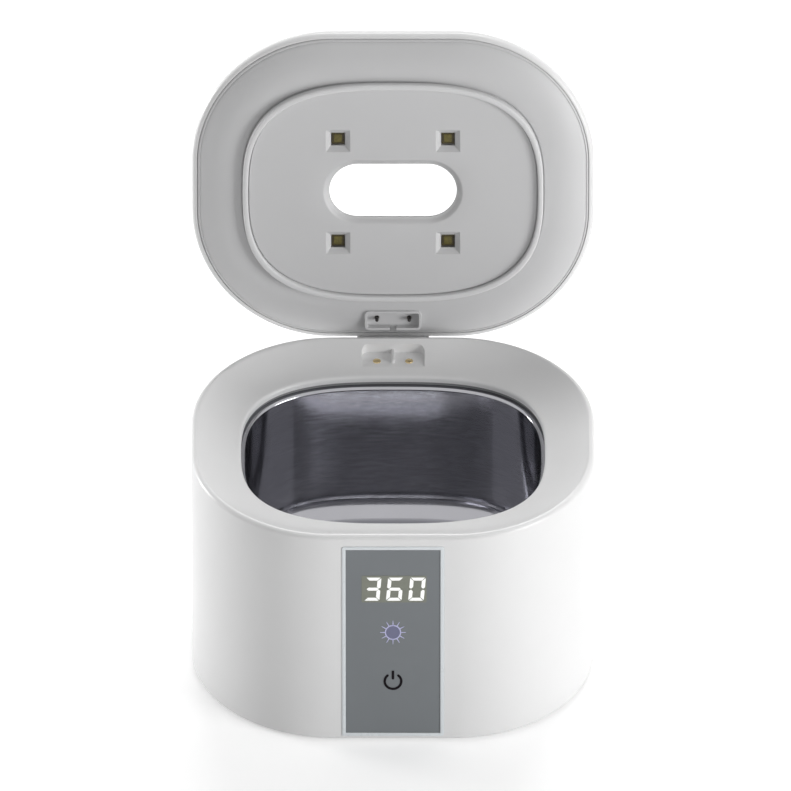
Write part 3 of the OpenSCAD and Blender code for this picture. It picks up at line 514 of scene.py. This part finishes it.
# Painted shade: the contact pins are made near-black to stand for the shadow in their holes in the lid's pocket.
PIN_PAINTED_SHADE = material("contact_dark", (0.035, 0.032, 0.03), 0.3, metallic=0.8, vary=0.1, grain=0.004)
FIXING = material("fixing_steel", (0.55, 0.55, 0.56), 0.3, metallic=1.0, grain=0.01, edge=0.08)
DARK = material("dark_plastic", (0.02, 0.02, 0.022), 0.45, vary=0.2, edge=0.15, grain=0.03)
CLAMP = material("clamp_plastic", (0.62, 0.62, 0.61), 0.5, edge=0.15, grain=0.03)
PIEZO = material("piezo", (0.42, 0.33, 0.20), 0.7, vary=0.12, tone_scale=200, grain=0.05)
WOUND = material("copper_wound", (0.10, 0.07, 0.05), 0.5, vary=0.3, tone_scale=400, stretch=(1, 1, 12),
                 grain=0.08)
CAN = material("can_aluminium", (0.12, 0.13, 0.20), 0.3, metallic=0.6, edge=0.2)
SINK = material("sink_aluminium", (0.55, 0.55, 0.56), 0.35, metallic=1.0, stretch=(1, 8, 1), grain=0.02)
LEAD_RED = material("lead_red", (0.42, 0.03, 0.025), 0.45, vary=0.08, edge=0.2)
LEAD_WHITE = material("lead_white", (0.7, 0.7, 0.68), 0.5, vary=0.05, stretch=(30, 1, 1), grain=0.05)
PAD = material("pad_rubber", (0.07, 0.07, 0.072), 0.75, vary=0.12, grain=0.06, grain_scale=1800)
# Painted shade: the package is made near-black round its lighter die, standing for the shadow that the recess
# throws round the die.
LAMP_BODY_PAINTED_SHADE = material("lamp_body_painted_shade", (0.05, 0.038, 0.008), 0.5, vary=0.3, tone_scale=900, edge=0.1)
LAMP_DIE = material("lamp_die", (0.115, 0.095, 0.015), 0.45, vary=0.35, tone_scale=1500, edge=0.05)
DIGIT_WINDOW = material("digit_window", (0.215, 0.225, 0.185), 0.32, vary=0.03, tone_scale=400, grain=0)
DIGITS = glow("digit_light", (0.94, 0.95, 0.93), 0.3)
LAMP_MARK = glow("lamp_mark", (0.50, 0.50, 0.72), 0.12)
LAMP_DISC = material("lamp_disc", (0.19, 0.195, 0.30), 0.35, vary=0.04, grain=0, Specular_IOR_Level=0.2)
KEY_MARK = material("key_mark", (0.004, 0.002, 0.004), 0.5, vary=0.1, grain=0, Specular_IOR_Level=0.1)

SLOT_MATERIALS = {
    "case_white": CASE_WHITE, "lid_white": LID_WHITE, "liner_white": LINER_WHITE_PAINTED_SHADE,
    "tank_steel": STEEL, "seal_grey": SEAL, "panel_frame": FRAME_WHITE, "panel_lens": LENS,
    "clear_pane": PANE, "display": DISPLAY, "board_green": BOARD, "board_white": BOARD_WHITE,
    "lamp": LAMP_BODY_PAINTED_SHADE, "contact_gold": GOLD, "contact_dark": PIN_PAINTED_SHADE, "fixing_steel": FIXING,
    "dark_plastic": DARK, "clamp_plastic": CLAMP, "piezo": PIEZO, "copper_wound": WOUND,
    "can_aluminium": CAN, "sink_aluminium": SINK, "lead_red": LEAD_RED, "lead_white": LEAD_WHITE,
    "pad_rubber": PAD,
}


def finish_piece(obj, mat, body, slot, *nodes):
    obj.data.materials.clear()
    obj.data.materials.append(mat)
    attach(obj, body)
    if nodes:
        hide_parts(*nodes)


for part in frame["record"]["subparts"]:
    carried = frame["nodes"][part["node"]]
    carried.data.materials.clear()
    carried.data.materials.append(SLOT_MATERIALS[part["material_slot"]])


# Case


def dish_z(share):
    return RIM_Z - DISH_DROP * share - 4 * DISH_SAG * share * (1 - share)


def case_rings():
    rings = []
    for a in arc(5):
        rings.append((outline(FOOT_EDGE_R * (1 - math.sin(a))), SHELL_Z + FOOT_EDGE_R * (1 - math.cos(a))))
    for a in arc(7):
        rings.append((outline(RIM_EDGE_R * (1 - math.cos(a))), RIM_Z - RIM_EDGE_R * (1 - math.sin(a))))
    crest, edge = outline(CREST_IN), mouth(MOUTH_EDGE_R)
    for i in range(DISH_STEPS + 1):
        rings.append((mix(crest, edge, i / DISH_STEPS), dish_z(DISH_END * i / DISH_STEPS)))
    edge_z = dish_z(DISH_END) - DISH_STEP
    for a in arc(7)[1:]:
        rings.append((mouth(MOUTH_EDGE_R * (1 - math.sin(a))), edge_z - MOUTH_EDGE_R * (1 - math.cos(a))))
    rings += [(mouth(), DECK_UNDER), (outline(WALL), DECK_UNDER), (outline(WALL), SHELL_Z)]
    return rings


def make_case():
    """Shell, cut for the notch, the panel, the lid's knuckle and the power inlet."""
    body = sweep("case_body", case_rings())
    notch_rear = REAR_Y - NOTCH_BACK
    reach = notch_rear - MOUTH_HALF.y + NOTCH_PAST
    notch = prism("notch", rect_profile(NOTCH_W, reach, NOTCH_R, (0, notch_rear - reach / 2)),
                  RIM_Z - NOTCH_DROP, RIM_Z + CUT)
    combine(body, notch, "DIFFERENCE")
    low, high = box_mm("panel_frame")
    size = (high.x - low.x + 2 * RECESS_GAP, high.z - low.z + 2 * RECESS_GAP)
    recess = prism("recess", rect_profile(*size, RECESS_R, (0, (high.z + low.z) / 2)),
                   FRONT_Y - CUT, FRONT_Y + PANEL_RECESS, axis="y")
    combine(body, recess, "DIFFERENCE")
    hollow = prism("hinge_recess", circle_profile(KNUCKLE_R + KNUCKLE_GAP, (HINGE.y, HINGE.z), BORE_STEPS),
                   -LUG_INNER_X, LUG_INNER_X, axis="x")
    combine(body, hollow, "DIFFERENCE")
    nose_z = box_mm("power_inlet")[0].z + INLET_MID
    bore = prism("inlet_bore", circle_profile(INLET_BORE_R, (0, nose_z), BORE_STEPS),
                 REAR_Y - INLET_BORE_IN, REAR_Y + 1, axis="y")
    combine(body, bore, "DIFFERENCE")
    finish_piece(body, CASE_WHITE, "case", "case_white", "case_shell")


make_case()


def make_rib():
    """Upright locating rib between the contacts."""
    floor = RIM_Z - NOTCH_DROP
    profile = rect_profile(*RIB_SIZE, RIB_R, (0, REAR_Y - NOTCH_BACK - RIB_BACK))
    rib = bevel(prism("notch_rib", profile, floor - RIB_SINK, floor + RIB_H), 0.25)
    finish_piece(rib, CASE_WHITE, "case", "case_white", "case_shell")


make_rib()


def make_hinge_mount():
    """Lugs beside the knuckle and the ledge that stops the lid."""
    lug_r, back_y = KNUCKLE_R + LUG_GROW, HINGE.y - (HINGE_OUT + LUG_IN)
    outer_x = LUG_INNER_X + LUG_T
    parts = []
    for low, high in ((LUG_INNER_X, outer_x), (-outer_x, -LUG_INNER_X)):
        profile = [polar((HINGE.y, HINGE.z), lug_r, a) for a in arc(24, -50, 90)]
        profile += [(back_y, HINGE.z + lug_r), (back_y, HINGE.z - LUG_FOOT)]
        parts.append(bevel(prism("lug", profile, low, high, axis="x"), MOUNT_EDGE))
    tilt = LID_OPEN - math.pi / 2

    def ledge_z(y):
        return HINGE.z - (KNUCKLE_R + LEDGE_GAP + math.sin(tilt) * y) / math.cos(tilt)

    ledge = [(back_y, ledge_z(-(HINGE_OUT + LUG_IN))), (HINGE.y + LEDGE_OUT, ledge_z(LEDGE_OUT)),
             (HINGE.y + LEDGE_OUT, ledge_z(LEDGE_OUT) - LEDGE_T), (REAR_Y, HINGE.z - LEDGE_FOOT),
             (back_y, HINGE.z - LEDGE_FOOT)]
    parts.append(bevel(prism("ledge", ledge, -outer_x, outer_x, axis="x"), MOUNT_EDGE))
    finish_piece(join("hinge_mount", parts), CASE_WHITE, "case", "case_white", "case_shell")


make_hinge_mount()


def make_tank():
    """One pressing: outer side up to the flange, round lip, and inner side down to the curved floor."""
    top = DECK_UNDER - GASKET_T
    floor = box_mm("tank")[0].z
    wall = -TANK_INSET
    rings = []
    for a in arc(8):
        r = TANK_FLOOR_R * (1 - math.sin(a))
        rings.append((mouth(wall + TANK_T - r), floor + TANK_FLOOR_R * (1 - math.cos(a))))
    rings += [(mouth(wall + TANK_T), top - TANK_T - TANK_NECK),
              (mouth(wall + TANK_T + TANK_NECK), top - TANK_T),
              (mouth(FLANGE_OUT), top - TANK_T), (mouth(FLANGE_OUT), top)]
    for a in arc(8):
        rings.append((mouth(wall + LIP_R * (1 - math.sin(a))), top - LIP_R * (1 - math.cos(a))))
    inner_r = TANK_FLOOR_R - TANK_T
    for a in reversed(arc(10)):
        r = inner_r * (1 - math.sin(a))
        rings.append((mouth(wall - r), floor + TANK_T + inner_r * (1 - math.cos(a))))
    tank = sweep("tank_pressing", rings, closed=False, caps=True)
    finish_piece(tank, STEEL, "case", "tank_steel", "tank")


make_tank()


def make_bezel():
    """Frame of the panel with its front edges rounded."""
    low, high = box_mm("panel_frame")
    lens_low, lens_high = box_mm("panel_lens")
    middle = (0, (low.z + high.z) / 2)
    size = (high.x - low.x + BEZEL_GROW, high.z - low.z + BEZEL_GROW)
    bezel = prism("bezel", rect_profile(*size, BEZEL_R, middle, 5), low.y, high.y, axis="y")
    size = (lens_high.x - lens_low.x + BEZEL_FIT, lens_high.z - lens_low.z + BEZEL_FIT)
    opening = prism("opening", rect_profile(*size, 0.05, middle, 2), low.y - 1, high.y + 1, axis="y")
    combine(bezel, opening, "DIFFERENCE")
    finish_piece(bevel(bezel, BEZEL_EDGE, angle=60), FRAME_WHITE, "case", "panel_frame", "panel_frame")


make_bezel()


def make_gasket():
    top = DECK_UNDER
    rings = [(mouth(FLANGE_OUT), top - GASKET_T), (mouth(FLANGE_OUT), top)]
    rings += [(mouth(out), top - down) for out, down in GASKET_EDGE]
    rings += [(mouth(out), top - GASKET_T + down) for out, down in reversed(GASKET_EDGE)]
    finish_piece(sweep("gasket", rings), SEAL, "case", "seal_grey", "tank_gasket")


make_gasket()

def make_contact_pads():
    low, high = box_mm("contact_pads")
    profile = [(0, low.z), (CONTACT_CROWN[0][0], low.z)]
    profile += [(r, high.z - down) for r, down in CONTACT_CROWN] + [(0, high.z)]
    for side, s in (("left", -1), ("right", 1)):
        at = Matrix.Translation((s * CONTACT_PITCH / 2, REAR_Y - CONTACT_BACK, 0))
        pad = lathe(f"contact_pad_{side}", profile, moved=at)
        finish_piece(pad, GOLD, "case", "contact_gold", "contact_pads")


make_contact_pads()


# Front panel marks, each a thin print on the lens

PRINT_Y = FRONT_Y - 0.03
PRINT_SINK = 0.02
PRINT_T = 0.03
PATCH_T = 0.02  # thickness of the patches under the marks


def print_shape(name, shapes, mat, slot, depth=PRINT_T, lift=0.0):
    back = PRINT_Y - lift
    parts = [prism("mark", shape, back - depth, back + PRINT_SINK, axis="y") for shape in shapes]
    finish_piece(join(name, parts), mat, "case", slot)


DIGIT_H = 8.0
DIGIT_W = 4.3
DIGIT_PITCH = 6.14
DIGIT_MID = RIM_Z - 18.0
STROKE = 1.0
SLANT = 0.075
BAR_GAP = 0.22
DIGITS_RIGHT = 0.5
DIGIT_PANE_SIZE = (18.0, 9.3)
DIGIT_PANE_R = 0.4
DIGIT_PANE_RIGHT = 0.3


def digit_segments(text, mid_x):
    """Slanted bars of one numeral of a seven-part display."""
    lit = {"3": "abcdg", "6": "acdefg", "0": "abcdef"}[text]
    w, h, t, gap = DIGIT_W / 2, DIGIT_H / 2, STROKE, BAR_GAP
    under, point, inner = w - t - gap * 0.2, w - gap * 2.2, w - t
    top = [(-w + gap, h), (w - gap, h), (under, h - t), (-under, h - t)]
    middle = [(-point, 0), (-inner, t / 2), (inner, t / 2), (point, 0), (inner, -t / 2), (-inner, -t / 2)]
    right = [(w, h - gap), (w, gap + 0.35), (w - t / 2, gap), (inner, t / 2 + gap), (inner, h - t - gap)]
    shapes = {
        "a": top, "d": [(x, -z) for x, z in top], "g": middle, "b": right, "c": [(x, -z) for x, z in right],
        "f": [(-x, z) for x, z in right], "e": [(-x, -z) for x, z in right],
    }
    return [[(mid_x + x + SLANT * z, DIGIT_MID + z) for x, z in shapes[s]] for s in lit]


glass_low, glass_high = box_mm("panel_lens")
MARK_X = (glass_low.x + glass_high.x) / 2
pane = rect_profile(*DIGIT_PANE_SIZE, DIGIT_PANE_R, (MARK_X + DIGIT_PANE_RIGHT, DIGIT_MID))
print_shape("digit_window", [pane], DIGIT_WINDOW, "display", depth=PATCH_T)
bars = []
for i, text in enumerate("360"):
    bars += digit_segments(text, MARK_X + (i - 1) * DIGIT_PITCH + DIGITS_RIGHT)
print_shape("digits", bars, DIGITS, "display", lift=PRINT_T)


def ring_sector(centre, r, w, start, end):
    """Band of a ring with round ends, as one outline; its angles run from the top to the right."""

    def at(middle, radius, angle):
        return middle[0] + radius * math.sin(angle), middle[1] + radius * math.cos(angle)

    def round_end(degrees, low, high):
        turn = math.radians(degrees)
        return [at(at(centre, r, turn), w / 2, turn + a) for a in arc(6, low, high)[1:-1]]

    outer = [at(centre, r + w / 2, a) for a in arc(64, start, end)]
    inner = [at(centre, r - w / 2, a) for a in arc(64, end, start)]
    return outer + round_end(end, 0, 180) + inner + round_end(start, 180, 360)


LAMP_Z = RIM_Z - 33.1
KEY_Z = RIM_Z - 50.2
MARK_TALL = 1.15  # the symbols are a little taller than wide
DISC_R = 1.95
SUN_R = 2.1
SUN_LINE = 0.32
RAYS = 12
RAY_END = 3.6
RAY_W = (0.3, 0.14)  # at the ring and at the tip
KEY_R = 2.3
KEY_LINE = 0.66
KEY_OPEN = 40  # degrees that the ring is open for on each side of its top
KEY_BAR = (0.68, 2.7)
KEY_BAR_R = 0.33
KEY_BAR_UP = 1.9


def tall(shapes, middle):
    return [[(x, middle + (z - middle) * MARK_TALL) for x, z in shape] for shape in shapes]


def lamp_symbol():
    """Ring with tapered rays."""
    centre = Vector((MARK_X, LAMP_Z))
    shapes = [ring_sector(centre, SUN_R, SUN_LINE, start, start + 179) for start in (2, 182)]
    root, tip = RAY_W
    ray_start = SUN_R + 0.1
    for i in range(RAYS):
        a = math.radians(360 / RAYS * i)
        along, across = Vector((math.sin(a), math.cos(a))), Vector((math.cos(a), -math.sin(a)))
        corners = ((ray_start, root), (RAY_END, tip), (RAY_END, -tip), (ray_start, -root))
        shapes.append([tuple(centre + along * r + across * w / 2) for r, w in corners])
    return tall(shapes, LAMP_Z)


disc = circle_profile(DISC_R, (MARK_X, LAMP_Z))
print_shape("lamp_disc", tall([disc], LAMP_Z), LAMP_DISC, "panel_lens", depth=PATCH_T)
print_shape("lamp_symbol", lamp_symbol(), LAMP_MARK, "panel_lens", lift=PRINT_T)
key = [ring_sector((MARK_X, KEY_Z), KEY_R, KEY_LINE, KEY_OPEN, 360 - KEY_OPEN),
       rect_profile(*KEY_BAR, KEY_BAR_R, (MARK_X, KEY_Z + KEY_BAR_UP), steps=5)]
print_shape("key_symbol", tall(key, KEY_Z), KEY_MARK, "panel_lens", lift=PRINT_T)


# Lid


def shoulder(a, grow):
    return SHOULDER_W - (SHOULDER_W - grow) * math.cos(a), LIP_H + (LID_H - LIP_H - grow) * math.sin(a)


def make_lid_cover():
    """Outer shell: lip, round shoulder, flat top with its window, and the inner side back down."""
    rings = [(outline(LIP_W), LID_CLEAR)]
    rings += [(outline(LIP_W * across), up * LIP_H) for across, up in LIP_CURVE]
    for a in arc(20):
        inset, z = shoulder(a, 0)
        rings.append((outline(inset), z))
    hole, ledge = stadium(OUTER_WINDOW_HALF), stadium(OUTER_WINDOW_HALF, -PANE_LEDGE)
    edge = outline(SHOULDER_W)
    for share in (0.3, 0.6, 0.85, 1.0):
        rings.append((mix(edge, hole, share), LID_H))
    rings += [(hole, LID_H - PANE_DROP), (ledge, LID_H - PANE_DROP), (ledge, LID_H - LID_T)]
    start = math.asin((REBATE_H - LIP_H) / (LID_H - LIP_H - LID_T))
    for a in reversed(arc(14, math.degrees(start), 90)):
        inset, z = shoulder(a, LID_T)
        rings.append((outline(inset), z))
    rings.append((outline(LIP_W), REBATE_H))
    finish_piece(sweep("lid_cover", rings, moved=OPEN), LID_WHITE, "lid", "lid_white", "lid_shell")


make_lid_cover()


def make_lid_arm():
    """Knuckle round the hinge pin with the arm that joins it to the lid."""
    r, y, z = KNUCKLE_R, HINGE.y, -HINGE_DROP
    start = math.degrees(math.acos((r - ARM_T) / r))
    profile = [polar((y, z), r, a) for a in arc(40, start, 360)]
    profile += [(y + r, ARM_BACK_TOP), (y + r - ARM_SLOPE, ARM_TOP), (REAR_Y - ARM_IN, ARM_TOP),
                (REAR_Y - ARM_IN, ARM_UNDER), (y + r - ARM_T, ARM_FRONT)]
    half = KNUCKLE_LEN / 2
    arm = prism("lid_arm", profile, -half, half, axis="x", moved=OPEN)
    bore = prism("pin_bore", circle_profile(PIN_BORE_R, (y, z)), -half - CUT, half + CUT, axis="x", moved=OPEN)
    combine(arm, bore, "DIFFERENCE")
    finish_piece(bevel(arm, 0.3), LID_WHITE, "lid", "lid_white", "lid_shell")


make_lid_arm()


def ring_z(share):
    """Height of the liner's bulged ring, from its outer edge at 0 to the bead at 1."""
    return RING_TOP - (VALLEY_DROP + RING_TOP) * share - 4 * RING_BULGE * share * (1 - share)


def liner_rings():
    """Rings from the window out to the liner's edge on the face, then back on the hidden side."""
    edge, inner_edge = outline(LINER_INSET), outline(LINER_INSET + LINER_T)
    bead = mouth(-BEAD_GAP)
    back = mouth(-BEAD_GAP - BEAD_T - 0.6)
    floor_back = LINER_T - FLOOR_DROP
    rings = [(stadium(WINDOW_HALF), floor_back), (stadium(WINDOW_HALF), -FLOOR_DROP + WINDOW_EDGE_H)]
    for i in range(1, 8):
        share = i / 8
        soft = 0.5 - 0.5 * math.cos(math.pi * share)
        rings.append((stadium(WINDOW_HALF, WINDOW_CHAMFER * share), -FLOOR_DROP + WINDOW_EDGE_H * (1 - soft)))
    chamfer_edge = stadium(WINDOW_HALF, WINDOW_CHAMFER)
    rings.append((chamfer_edge, -FLOOR_DROP))
    foot = mouth(-BEAD_GAP - BEAD_T - BEAD_GROOVE)
    for share in (0.25, 0.5, 0.75, 0.96, 1.0):
        rings.append((mix(chamfer_edge, foot, share), -FLOOR_DROP))
    seat, groove_z = mouth(-BEAD_GAP - 0.2), ring_z(1) + BEAD_GROOVE
    rings += [(foot, -FLOOR_DROP + BEAD_SEAT), (seat, -FLOOR_DROP + BEAD_SEAT), (seat, groove_z),
              (mouth(-BEAD_GAP + BEAD_GROOVE), groove_z)]
    for i in range(RING_STEPS, 1, -1):
        share = RING_END * i / RING_STEPS
        rings.append((mix(edge, bead, RING_SHIFT + share), ring_z(share)))
    rings += [(outline(LINER_INSET + inset), z) for inset, z in EDGE_LIP]
    rings += [(edge, EDGE_TOP), (edge, REBATE_H), (mix(edge, inner_edge, 0.6), REBATE_H)]
    for share in (0, 0.25, 0.5, 0.75, 1):
        rings.append((mix(inner_edge, back, share), ring_z(share) + LINER_T))
    rings.append((mix(inner_edge, back, 1.02), floor_back))
    return rings


def funnel(x, y):
    """Square recess that narrows to the lamp, as a cutter."""
    points = []
    throat = LAMP_W + 0.4
    levels = ((FUNNEL_W + 0.03, -FLOOR_DROP - 0.01), (throat, -FLOOR_DROP + FUNNEL_H),
              (throat, LINER_T - FLOOR_DROP + 1))
    for w, z in levels:
        points += [(x + sx * w / 2, y + sy * w / 2, z) for sx, sy in ((-1, -1), (1, -1), (1, 1), (-1, 1))]
    faces = [(3, 2, 1, 0), (8, 9, 10, 11)]
    for j in (0, 4):
        faces += [(j + i, j + (i + 1) % 4, j + 4 + (i + 1) % 4, j + 4 + i) for i in range(4)]
    return add_object("funnel", points, faces, OPEN)


def make_liner():
    """Inner side of the lid, with the contact pocket's collar and the lamps' recesses."""
    liner = sweep("lid_lining", liner_rings(), moved=OPEN)
    y = REAR_Y - CONTACT_BACK
    collar = prism("collar", rect_profile(*COLLAR_SIZE, COLLAR_R, (0, y)), -COLLAR_DROP, COLLAR_ROOT,
                   moved=OPEN)
    combine(liner, collar, "UNION")
    inner = COLLAR_SIZE - Vector((2 * COLLAR_T, 2 * COLLAR_T))
    pocket = prism("pocket", rect_profile(*inner, COLLAR_R - COLLAR_T, (0, y)), -COLLAR_DROP - 1,
                   -POCKET_DROP, moved=OPEN)
    combine(liner, pocket, "DIFFERENCE")
    slot = prism("slot", rect_profile(*SLOT_SIZE, 0.2, (0, y + COLLAR_SIZE.y / 2)), -COLLAR_DROP - 1.7,
                 -POCKET_DROP - SLOT_DEEPER, moved=OPEN)
    combine(liner, slot, "DIFFERENCE")
    for s in (-1, 1):
        pin_hole = circle_profile(PIN_HOLE_R, (s * CONTACT_PITCH / 2, y), 32)
        combine(liner, prism("hole", pin_hole, -COLLAR_DROP, 4, moved=OPEN), "DIFFERENCE")
        for t in (-1, 1):
            combine(liner, funnel(s * LAMP_PITCH.x / 2, t * LAMP_PITCH.y / 2), "DIFFERENCE")
    finish_piece(liner, LINER_WHITE_PAINTED_SHADE, "lid", "liner_white", "lid_liner")


make_liner()


def make_bead():
    """Round bead that stands between the liner's ring and its floor."""
    foot, crown = -FLOOR_DROP + BEAD_FOOT, -BEAD_DROP + BEAD_R
    inner, outer = -BEAD_GAP - BEAD_T, -BEAD_GAP
    rings = [(mouth(inner), foot), (mouth(inner), crown)]
    for a in arc(6, 180, 90)[1:]:
        rings.append((mouth(inner + BEAD_R + BEAD_R * math.cos(a)), -BEAD_DROP + BEAD_R * (1 - math.sin(a))))
    rings.append((mouth(outer - BEAD_T / 2), -BEAD_DROP - BEAD_CROWN))
    for a in arc(6, 90, 0):
        rings.append((mouth(outer - BEAD_R + BEAD_R * math.cos(a)), -BEAD_DROP + BEAD_R * (1 - math.sin(a))))
    rings.append((mouth(outer), foot))
    finish_piece(sweep("lid_bead", rings, moved=OPEN), BEAD_PAINTED_SHADE_AND_HIGHLIGHT, "lid", "liner_white", "lid_liner")


make_bead()


def make_lamps():
    """Four packages behind the liner's square recesses, each with a die on its face."""
    under = LINER_T - FLOOR_DROP + LAMP_BEHIND
    bodies, dies = [], []
    for sx in (-1, 1):
        for sy in (-1, 1):
            centre = (sx * LAMP_PITCH.x / 2, sy * LAMP_PITCH.y / 2)
            chip = rect_profile(LAMP_W, LAMP_W, 0.2, centre, 4)
            bodies.append(bevel(prism("chip", chip, under + 0.2, under + 1.2, moved=OPEN), LAMP_EDGE))
            die = rect_profile(DIE_W, DIE_W, 0.5, centre, 5)
            dies.append(bevel(prism("die", die, under, under + 0.3, moved=OPEN), LAMP_EDGE))
    finish_piece(join("lamp_bodies", bodies), LAMP_BODY_PAINTED_SHADE, "lid", "lamp", "uv_lamps")
    finish_piece(join("lamp_dies", dies), LAMP_DIE, "lid", "lamp", "uv_lamps")


make_lamps()


# Floor, background, light and camera


SKY_LEVEL = 0.345  # light from all round, where 1 shows a colour as written
FLOOR_GLOW = (0.36, 0.72)  # what the floor lacks of white near the case and far off, added only for the eye
FLOOR_REACH = (0.2, 0.7)  # distances in metres that the two hold for
FLOOR_HALF = 3.0  # metres
LIGHT_DISTANCE = 1.1  # metres


def seen_directly(tree):
    """1 for rays of the camera, of gloss and of glass, and 0 for those that carry light."""
    path = node(tree, "ShaderNodeLightPath")
    total = path.outputs["Is Camera Ray"]
    for kind in ("Is Glossy Ray", "Is Transmission Ray"):
        either = node(tree, "ShaderNodeMath", operation="MAXIMUM")
        tree.links.new(total, either.inputs[0])
        tree.links.new(path.outputs[kind], either.inputs[1])
        total = either.outputs[0]
    return total


def make_world():
    world = bpy.data.worlds.new("studio")
    bpy.context.scene.world = world
    world.use_nodes = True
    tree = world.node_tree
    tree.nodes.clear()
    sky = node(tree, "ShaderNodeBackground", Strength=SKY_LEVEL)
    white = node(tree, "ShaderNodeBackground", Strength=1.0)
    for shader in (sky, white):
        shader.inputs["Color"].default_value = (1, 1, 1, 1)
    both = node(tree, "ShaderNodeMixShader")
    tree.links.new(seen_directly(tree), both.inputs[0])
    tree.links.new(sky.outputs[0], both.inputs[1])
    tree.links.new(white.outputs[0], both.inputs[2])
    out = node(tree, "ShaderNodeOutputWorld")
    tree.links.new(both.outputs[0], out.inputs["Surface"])


def make_floor():
    """Pale floor that keeps the shadow and shows white further off."""
    corners = [(x * FLOOR_HALF, y * FLOOR_HALF, 0) for x, y in ((-1, -1), (1, -1), (1, 1), (-1, 1))]
    mesh = bpy.data.meshes.new("floor")
    mesh.from_pydata(corners, [], [(0, 1, 2, 3)])
    floor = bpy.data.objects.new("floor", mesh)
    bpy.context.scene.collection.objects.link(floor)
    mat = material("floor", (0.93, 0.93, 0.93), 0.8, vary=0.005, grain=0)
    tree = mat.node_tree
    coords = node(tree, "ShaderNodeTexCoord")
    far = node(tree, "ShaderNodeVectorMath", operation="LENGTH")
    tree.links.new(coords.outputs["Object"], far.inputs[0])
    level = node(tree, "ShaderNodeMapRange")
    level.inputs["From Min"].default_value, level.inputs["From Max"].default_value = FLOOR_REACH
    level.inputs["To Min"].default_value, level.inputs["To Max"].default_value = FLOOR_GLOW
    tree.links.new(far.outputs["Value"], level.inputs["Value"])
    glow_level = node(tree, "ShaderNodeMath", operation="MULTIPLY")
    tree.links.new(seen_directly(tree), glow_level.inputs[0])
    tree.links.new(level.outputs["Result"], glow_level.inputs[1])
    shader = tree.nodes["Principled BSDF"]
    shader.inputs["Emission Color"].default_value = (1, 1, 1, 1)
    tree.links.new(glow_level.outputs[0], shader.inputs["Emission Strength"])
    mesh.materials.append(mat)


def make_light(name, azimuth, elevation, size, level):
    """Soft box aimed at the case.

    The azimuth runs from the front to the right. A surface that faces a level of 1 shows its colour as written.
    """
    data = bpy.data.lights.new(name, "AREA")
    data.shape = "RECTANGLE"
    data.size, data.size_y = size
    data.energy = math.pi ** 2 * LIGHT_DISTANCE ** 2 * level
    obj = bpy.data.objects.new(name, data)
    bpy.context.scene.collection.objects.link(obj)
    az, el = math.radians(azimuth), math.radians(elevation)
    away = Vector((math.sin(az) * math.cos(el), -math.cos(az) * math.cos(el), math.sin(el)))
    obj.location = Vector((0, 0, RIM_Z * MM)) + away * LIGHT_DISTANCE
    obj.rotation_euler = (-away).to_track_quat("-Z", "Y").to_euler()


PHOTO_SIDE = 791
PX_PER_MM = 3.6
VIEW_ELEVATION = math.radians(37)
RIM_CENTRE_PX = Vector((393.0, 435.85))
LENS_MM = 1300
SENSOR_MM = 36


def make_camera():
    """Long lens that frames the rim's centre where the photo has it."""
    data = bpy.data.cameras.new("camera")
    data.lens = LENS_MM
    data.sensor_width = SENSOR_MM
    obj = bpy.data.objects.new("camera", data)
    bpy.context.scene.collection.objects.link(obj)
    up = Vector((0, math.sin(VIEW_ELEVATION), math.cos(VIEW_ELEVATION)))
    look = Vector((0, math.cos(VIEW_ELEVATION), -math.sin(VIEW_ELEVATION)))
    shift = (Vector((PHOTO_SIDE / 2, PHOTO_SIDE / 2)) - RIM_CENTRE_PX) / PX_PER_MM
    aim = Vector((shift.x, 0, RIM_Z)) - up * shift.y
    distance = PHOTO_SIDE / PX_PER_MM * data.lens / data.sensor_width
    obj.location = (aim - look * distance) * MM
    obj.rotation_euler = look.to_track_quat("-Z", "Y").to_euler()
    data.clip_start, data.clip_end = 1, 40
    bpy.context.scene.camera = obj


make_world()
make_floor()
make_light("key", 58, 11, (0.5, 0.5), 0.58)
make_light("left_edge", -112, 3, (0.25, 0.4), 0.62)
make_light("back", 172, 52, (0.6, 0.4), 0.48)
make_camera()
bpy.context.scene.view_settings.view_transform = "Standard"
